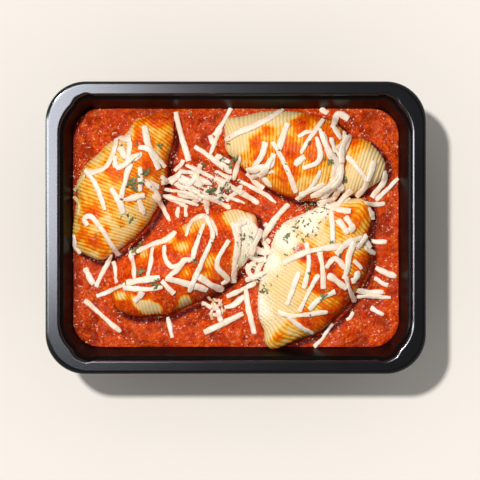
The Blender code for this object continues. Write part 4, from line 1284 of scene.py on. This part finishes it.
def drape(path, half, thickness, heights, dice, melted):
    """Heights and sideways lean of a strip laid along a path, which then counts as laid.

    The more it is melted, the deeper it sinks into the strips that it crosses.
    """
    ahead = np.gradient(path, axis=0)
    ahead /= np.maximum(np.hypot(ahead[:, 0], ahead[:, 1])[:, None], 1e-9)
    side = np.stack([-ahead[:, 1], ahead[:, 0]], axis=1)
    offsets = np.linspace(-1.0, 1.0, 7) * half
    under = heights.at(*(path[:, axis, None] + side[:, axis, None] * offsets for axis in (0, 1)))
    lean = (under * offsets).sum(axis=1) / (offsets ** 2).sum()
    lean = softened(np.clip(lean, -SHRED_LEAN, SHRED_LEAN))
    lean = lean + dice.uniform(-LEAN_JITTER, LEAN_JITTER)
    over = under - lean[:, None] * offsets
    rest = (1.0 - melted) * over.max(axis=1) + melted * np.median(over, axis=1)
    padded = np.pad(rest, 1, mode="edge")
    rest = softened(np.maximum(np.maximum(padded[:-2], padded[2:]) - SHRED_DROOP, rest))
    middle = rest + thickness / 2 - SHRED_EMBED
    fine = np.linspace(-1.0, 1.0, 15) * half
    top = middle[:, None] + lean[:, None] * fine
    top = top + thickness / 2 * (1.0 - 0.35 * (fine / half) ** 4)
    for shift in (-0.25, 0.0, 0.25, 0.5):
        along = path + ahead * shift * PATH_STEP
        heights.raise_to(*(along[:, axis, None] + side[:, axis, None] * fine for axis in (0, 1)), top)
    return middle, np.arctan(lean)


def point_value(tree, name, kind="FLOAT"):
    """A number or a direction that every point of the geometry brings along."""
    return put(tree, "GeometryNodeInputNamedAttribute", {"data_type": kind}, Name=name)


def end_tree(tree, shape, material, out):
    """Ends a tree of geometry with plain faces and their material."""
    real = put(tree, "GeometryNodeRealizeInstances", Geometry=shape)
    fill(tree, out, put(tree, "GeometryNodeSetMaterial", Geometry=real, Material=material))
    return tree


def make_strip_tree(name, material):
    """Flat strips with rounded edges along the paths of a mesh of lines."""
    tree, takes, gives = new_tree(
        name, "GeometryNodeTree",
        (("Paths", "Geometry", None), ("Width", "Float", SHRED_WIDTH),
         ("Thickness", "Float", SHRED_THICKNESS), ("Rounding", "Float", SHRED_ROUNDING),
         ("Unevenness", "Float", SHRED_UNEVENNESS)),
        (("Strips", "Geometry"),))
    curve = put(tree, "GeometryNodeMeshToCurve", Mesh=takes["Paths"])
    upright = put(tree, "GeometryNodeSetCurveNormal", {"mode": "Z_UP"}, Curve=curve)
    leant = put(tree, "GeometryNodeSetCurveTilt", Curve=upright, Tilt=point_value(tree, "lean"))
    outline = put(tree, "GeometryNodeCurvePrimitiveQuadrilateral", Width=takes["Width"],
                  Height=takes["Thickness"])
    outline = put(tree, "GeometryNodeFilletCurve", {"mode": "POLY"}, Curve=outline,
                  Radius=takes["Rounding"], Count=2)
    strips = put(tree, "GeometryNodeCurveToMesh", Curve=leant, Scale=point_value(tree, "swell"),
                 Profile_Curve=outline, Fill_Caps=True)
    place = put(tree, "GeometryNodeInputPosition")
    waves = put(tree, "ShaderNodeTexNoise", Vector=place, Scale=470.0, Detail=3.0).outputs["Color"]
    push = put(tree, "ShaderNodeVectorMath", {"operation": "SUBTRACT"}, i0=waves, i1=(0.5, 0.5, 0.5))
    push = put(tree, "ShaderNodeVectorMath", {"operation": "SCALE"}, i0=push,
               Scale=takes["Unevenness"])
    bent = put(tree, "GeometryNodeSetPosition", Geometry=strips, Offset=push)
    smooth = put(tree, "GeometryNodeSetShadeSmooth", i0=bent)
    return end_tree(tree, smooth, material, gives["Strips"])


def grown(made, tree, **sizes):
    """Runs a node tree on an object and returns the plain mesh object that it makes."""
    modifier = made.modifiers.new("making", "NODES")
    modifier.node_group = tree
    for item in tree.interface.items_tree:
        if item.item_type == "SOCKET" and item.in_out == "INPUT" and item.name in sizes:
            modifier[item.identifier] = sizes[item.name]
    graph = bpy.context.evaluated_depsgraph_get()
    graph.update()
    mesh = bpy.data.meshes.new_from_object(made.evaluated_get(graph), depsgraph=graph)
    mesh.name = name = made.name
    made.modifiers.remove(modifier)
    bpy.data.objects.remove(made, do_unlink=True)
    return placed(name, mesh)


def lay_shreds(name, lines, heights, tree, dice, narrow=1.0, aged=0.0):
    """Grated cheese along lines of pixels, each shred resting on what lies under it.

    Shreds narrower than those on the sauce are cut finer: longer tips, and more melted together.
    """
    points, edges, lean, swell, tone = [], [], [], [], []
    tip_runs, tip_widths, melted = FINE_CUT if narrow < SAUCE_NARROW else PLAIN_CUT
    for line in lines:
        path = smooth_path(line)
        count = len(path)
        bends = np.linspace(0.0, dice.uniform(*BEND_RANGE), count) + dice.uniform(0.0, FULL_TURN)
        path = path + SHRED_BEND * np.stack([np.sin(bends), np.cos(1.3 * bends)], axis=1)
        width = narrow * dice.uniform(*SHRED_WIDTHS)
        middle, tilt = drape(path, SHRED_WIDTH / 2 * width, SHRED_THICKNESS * narrow, heights, dice,
                             melted)
        start = len(points)
        points.extend((x, y, z) for (x, y), z in zip(path, middle))
        edges.extend((start + index, start + index + 1) for index in range(count - 1))
        lean.extend(tilt)
        taper = np.ones(count) * width
        for from_start in (True, False):
            tip = dice.uniform(*tip_widths)
            run = min(dice.choice(tip_runs), count // 2 + 1)
            for step in range(run):
                share = math.sin(0.5 * math.pi * step / run)
                taper[step if from_start else -1 - step] *= tip + (1.0 - tip) * share
        waves = np.linspace(0.0, dice.uniform(*WAVE_RANGE), count) + dice.uniform(0.0, FULL_TURN)
        swell.extend(taper * (1.0 + SHRED_WAVES * np.sin(waves)))
        tone.extend([dice.random() + aged] * count)
    made = new_object(name, points, edges=edges)
    add_values(made, lean=lean, swell=swell, tone=tone)
    return grown(made, tree, Width=SHRED_WIDTH, Thickness=SHRED_THICKNESS)


def tossed(dice, middle, half_length, half_width, degrees, count, turns, halves):
    """Short shreds tossed over an ellipse round a middle, as lines of pixels."""
    lines = []
    for index in range(count):
        reach = math.sqrt(dice.random())
        angle = dice.uniform(0.0, 2.0 * math.pi)
        x, y = turned(half_length * reach * math.cos(angle), half_width * reach * math.sin(angle),
                      degrees, middle)
        turn = math.radians(dice.choice(turns) + dice.uniform(-TOSSED_SPREAD, TOSSED_SPREAD))
        half = dice.uniform(*halves)
        lines.append([in_photo(x + side * half * math.cos(turn), y + side * half * math.sin(turn))
                      for side in (-1, 1)])
    return lines


# Flakes and crumbs

def make_leaf(name, lobes, cup):
    """A small closed leaf flake about one metre across, to be scaled where it is laid."""
    rim = LEAF_RIM
    points = [(0.0, 0.0, 0.10 + cup), (0.0, 0.0, -0.02 + cup)]
    for level in (0.05, -0.03):
        for step in range(rim):
            angle = 2.0 * math.pi * step / rim
            reach = 0.5 * (0.72 + 0.28 * math.cos(lobes * angle)) * (1.0 if step % 2 else 0.82)
            x, y = reach * math.cos(angle) * LEAF_LONG, reach * math.sin(angle) * LEAF_SHORT
            points.append((x, y, level + 0.12 * math.sin(2.0 * angle + lobes)))
    faces = []
    for step in range(rim):
        after = (step + 1) % rim
        top, next_top = 2 + step, 2 + after
        under, next_under = 2 + rim + step, 2 + rim + after
        faces.append((0, top, next_top))
        faces.append((1, next_under, under))
        faces.append((top, under, next_under, next_top))
    leaf = new_object(name, points, faces)
    leaf.hide_render = True
    return leaf


def make_crumb():
    """A small irregular crumb about one metre across, to be scaled where it is laid."""
    shape = bmesh.new()
    bmesh.ops.create_icosphere(shape, subdivisions=1, radius=0.5)
    for vertex in shape.verts:
        vertex.co *= 1.0 + 0.9 * noise.noise(vertex.co * 2.3 + Vector((1.7, 0.2, 4.0)))
        vertex.co.z *= 0.7
    mesh = bpy.data.meshes.new("crumb_grain")
    shape.to_mesh(mesh)
    shape.free()
    crumb = placed("crumb_grain", mesh)
    crumb.hide_render = True
    return crumb


def make_flake_tree(leaves, material):
    """One leaf flake on every point, turned and sized by the point's own numbers."""
    tree, takes, gives = new_tree("strewn_flakes", "GeometryNodeTree", STREWN_INPUTS[:2],
                                  (("Flakes", "Geometry"),))
    joined = put(tree, "GeometryNodeGeometryToInstance")
    for leaf in leaves:
        found = put(tree, "GeometryNodeObjectInfo", Object=leaf)
        tree.links.new(found.outputs["Geometry"], joined.inputs[0])
    aligned = put(tree, "FunctionNodeAlignRotationToVector", {"axis": "Z"},
                  Vector=point_value(tree, "facing", "FLOAT_VECTOR"))
    spin = put(tree, "ShaderNodeCombineXYZ", Z=point_value(tree, "spin"))
    spun = put(tree, "FunctionNodeRotateRotation", {"rotation_space": "LOCAL"}, i0=aligned,
               i1=put(tree, "FunctionNodeEulerToRotation", Euler=spin))
    laid = put(tree, "GeometryNodeInstanceOnPoints", Points=takes["Points"], Instance=joined,
               Pick_Instance=True, Rotation=spun,
               Scale=times(tree, point_value(tree, "size"), takes["Size"]))
    return end_tree(tree, laid, material, gives["Flakes"])


def make_crumb_tree(crumb, material):
    """One crumb on every point, turned at random and sized by the point's own number."""
    tree, takes, gives = new_tree("strewn_crumbs", "GeometryNodeTree", STREWN_INPUTS,
                                  (("Crumbs", "Geometry"),))
    found = put(tree, "GeometryNodeObjectInfo", Object=crumb)
    turn = put(tree, "FunctionNodeRandomValue", {"data_type": "FLOAT_VECTOR"}, i1=(FULL_TURN,) * 3,
               Seed=takes["Seed"])
    laid = put(tree, "GeometryNodeInstanceOnPoints", Points=takes["Points"],
               Instance=found.outputs["Geometry"], Rotation=turn,
               Scale=times(tree, point_value(tree, "size"), takes["Size"]))
    return end_tree(tree, laid, material, gives["Crumbs"])


def lay_crumbs(name, spots, heights, tree, seed):
    """Crumbs strewn thickly at the middle of every spot of (pixel x, pixel y, reach, number).

    Most of those that fall on the sauce between the pieces sink in and are left out.
    """
    dice = random.Random(seed)
    points, size = [], []
    for pixel_x, pixel_y, reach, count in spots:
        spread = CRUMB_SPREAD * reach
        for index in range(count):
            x, y = at_photo(pixel_x + dice.gauss(0.0, spread), pixel_y + dice.gauss(0.0, spread))
            across = dice.uniform(*CRUMB_SIZES) * MM
            here = float(heights.at(x, y))
            if here < CRUMBS_STAY_OVER and dice.random() < CRUMBS_SUNK:
                continue
            points.append((x, y, here + 0.25 * across))
            size.append(across)
    made = new_object(name, points)
    add_values(made, size=size)
    return grown(made, tree, Size=1.0, Seed=seed)


def lay_flakes(flakes, clumps, heights, tree, dice):
    """Parsley flakes at their pixels and in clumps, lying on whatever is there."""
    points, size, spin, facing, tone = [], [], [], [], []
    flakes = list(flakes)
    for pixel_x, pixel_y, reach, count in clumps:
        for index in range(count):
            away, angle = reach * math.sqrt(dice.random()), dice.uniform(0.0, FULL_TURN)
            flakes.append((pixel_x + away * math.cos(angle), pixel_y + away * math.sin(angle),
                           dice.uniform(*CLUMP_FLAKE_SIZES)))
    for pixel_x, pixel_y, across in flakes:
        x, y = at_photo(pixel_x, pixel_y)
        slopes = []
        for side_x, side_y in ((FLAKE_REACH, 0.0), (0.0, FLAKE_REACH)):
            climb = float(heights.at(x + side_x, y + side_y) - heights.at(x - side_x, y - side_y))
            slopes.append(-max(-FLAKE_SLOPE, min(FLAKE_SLOPE, climb / (2 * FLAKE_REACH))))
        points.append((x, y, float(heights.at(x, y)) + FLAKE_LIFT))
        size.append(across * MM)
        spin.append(dice.uniform(0.0, FULL_TURN))
        facing.extend(Vector((*slopes, 1.0)).normalized())
        tone.append(dice.random())
    made = new_object("parsley_flakes", points)
    add_values(made, size=size, spin=spin, tone=tone)
    made.data.attributes.new("facing", "FLOAT_VECTOR", "POINT").data.foreach_set("vector", facing)
    return grown(made, tree, Size=1.0)


# Light, table and camera

def aim(made, direction):
    made.rotation_mode = "QUATERNION"
    made.rotation_quaternion = Vector(direction).to_track_quat("-Z", "Y")


def gloss_light(name, piece, size, energy, tint, location, direction):
    """A rectangular light that shows only in the gloss of one piece."""
    card = bpy.data.lights.new(name, "AREA")
    card.shape = "RECTANGLE"
    card.size, card.size_y = size
    card.energy = energy
    card.color = tint
    made = placed(name, card)
    made.location = location
    aim(made, direction)
    made.visible_diffuse = False
    receivers = bpy.data.collections.new(name + "_on")
    receivers.objects.link(piece)
    made.light_linking.receiver_collection = receivers


def make_lights(tray):
    sun = bpy.data.lights.new("key_light", "SUN")
    sun.energy = SUN_STRENGTH
    sun.angle = math.radians(SUN_WIDTH)
    sun.color = (1.0, 0.985, 0.965)
    aim(placed("key_light", sun), LIGHT_DIRECTION)
    gloss_light("side_card", tray, size=(0.36, 0.48), energy=12.2, tint=(0.87, 0.90, 1.0),
                location=(-0.255, 0.205, 1.2), direction=(0.0, 0.0, -1.0))
    gloss_light("edge_strip", tray, size=(0.22, 1.6), energy=32.0, tint=(0.90, 0.94, 1.0),
                location=(-1.1, 0.1, 1.1), direction=(1.1, -0.1, -1.1))

    world = bpy.data.worlds.new("soft_room")
    world.use_nodes = True
    tree = world.node_tree
    background = tree.nodes["Background"]
    background.inputs["Color"].default_value = (1.0, 0.985, 0.97, 1.0)
    height = upward(tree, put(tree, "ShaderNodeTexCoord").outputs["Generated"])
    fill(tree, background.inputs["Strength"],
         stretched(tree, height, *CEILING_EDGE, ROOM_SIDES, ROOM_CEILING))
    bpy.context.scene.world = world


def make_table(material):
    corners = [(x * TABLE_HALF, y * TABLE_HALF, 0.0) for x, y in ((-1, -1), (1, -1), (1, 1), (-1, 1))]
    table = new_object("table_top", corners, [(0, 1, 2, 3)], material)


def make_camera():
    lens = bpy.data.cameras.new("camera")
    lens.sensor_width = CAMERA_SENSOR
    lens.lens = CAMERA_SENSOR * CAMERA_RISE / (PHOTO_WIDTH * MM_PER_PIXEL * MM)
    lens.clip_start = 0.1
    lens.clip_end = 20.0
    camera = placed("camera", lens)
    camera.location = (*CAMERA_MIDDLE, TRAY_HEIGHT + CAMERA_RISE)
    bpy.context.scene.camera = camera


def finish_piece(piece, slot, *nodes):
    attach(piece, "root")
    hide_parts(*nodes)


def build():
    dice = random.Random(DICE_SEED)
    film, mottle, grain = make_wet_film(), make_mottle(), make_grain()
    pasta_finish = make_pasta_finish(film)

    tray = make_tray(make_plastic(grain, mottle))
    pasta = {node: make_pasta(node, form, pasta_finish) for node, form in PASTA.items()}
    sauce = make_sauce(surface_tree(*pasta.values()), make_sauce_finish(film, mottle))
    mound = make_mound(make_stained_finish(film, mottle))
    heights = Heights(surface_tree(sauce, mound, *pasta.values()))

    strips = make_strip_tree("cut_strips", make_cheese_finish(grain, mottle))
    bits = tossed(dice, at_photo(*BITS_MIDDLE), *BITS_REACH, 0.0, **BITS)
    shreds = {"bits": lay_shreds("cheese_bits", bits, heights, strips, dice, BITS_NARROW, BITS_AGED)}
    for where in ("sauce", "lower_left", "heap", "upper_left", "upper_right", "lower_right"):
        lines, narrow = SHREDS[where], {"sauce": SAUCE_NARROW, "heap": HEAP_NARROW}.get(where, 1.0)
        if where == "heap":
            lines = (*tossed(dice, HEAP_MIDDLE, *HEAP_REACH, HEAP_HEADING, **HEAP_SHORT_SHREDS), *lines)
        shreds[where] = lay_shreds("cheese_shreds_" + where, lines, heights, strips, dice, narrow)
    lips = lay_shreds("torn_lips", TORN_LIPS, heights, make_strip_tree("torn_lips", pasta_finish),
                      random.Random(LIP_SEED), LIP_NARROW)

    leaves = [make_leaf("leaf_a", 2, 0.05), make_leaf("leaf_b", 3, -0.04), make_leaf("leaf_c", 5, 0.08)]
    flake_tree = make_flake_tree(leaves, make_leaf_finish(grain, mottle))
    parsley = lay_flakes(PARSLEY, PARSLEY_CLUMPS, heights, flake_tree, dice)
    crumb = make_crumb()
    crumb_tree = make_crumb_tree(crumb, make_crumb_finish(grain, mottle))
    crumbs = {}
    for seed, (where, spots) in enumerate(CRUMBS.items()):
        crumbs[where] = lay_crumbs("parmesan_" + where, spots, heights, crumb_tree, seed + 1)
    for helper in (crumb, *leaves):
        bpy.data.objects.remove(helper, do_unlink=True)

    finish_piece(tray, "tray_plastic", "tray")
    finish_piece(sauce, "tomato_sauce", "sauce")
    finish_piece(mound, "grated_cheese", "cheese_heap")
    for node, piece in pasta.items():
        finish_piece(piece, "cooked_pasta", node)
    finish_piece(lips, "cooked_pasta", "pasta_shell_upper_left")
    laid_on = {"sauce": "sauce", "bits": "sauce", "heap": "cheese_heap"}
    for where, piece in (*shreds.items(), *crumbs.items()):
        finish_piece(piece, "grated_cheese", laid_on.get(where, "pasta_shell_" + where))
    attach(parsley, "root")

    make_table(make_table_finish(mottle))
    make_lights(tray)
    make_camera()
    bpy.context.scene.view_settings.view_transform = "Standard"


build()
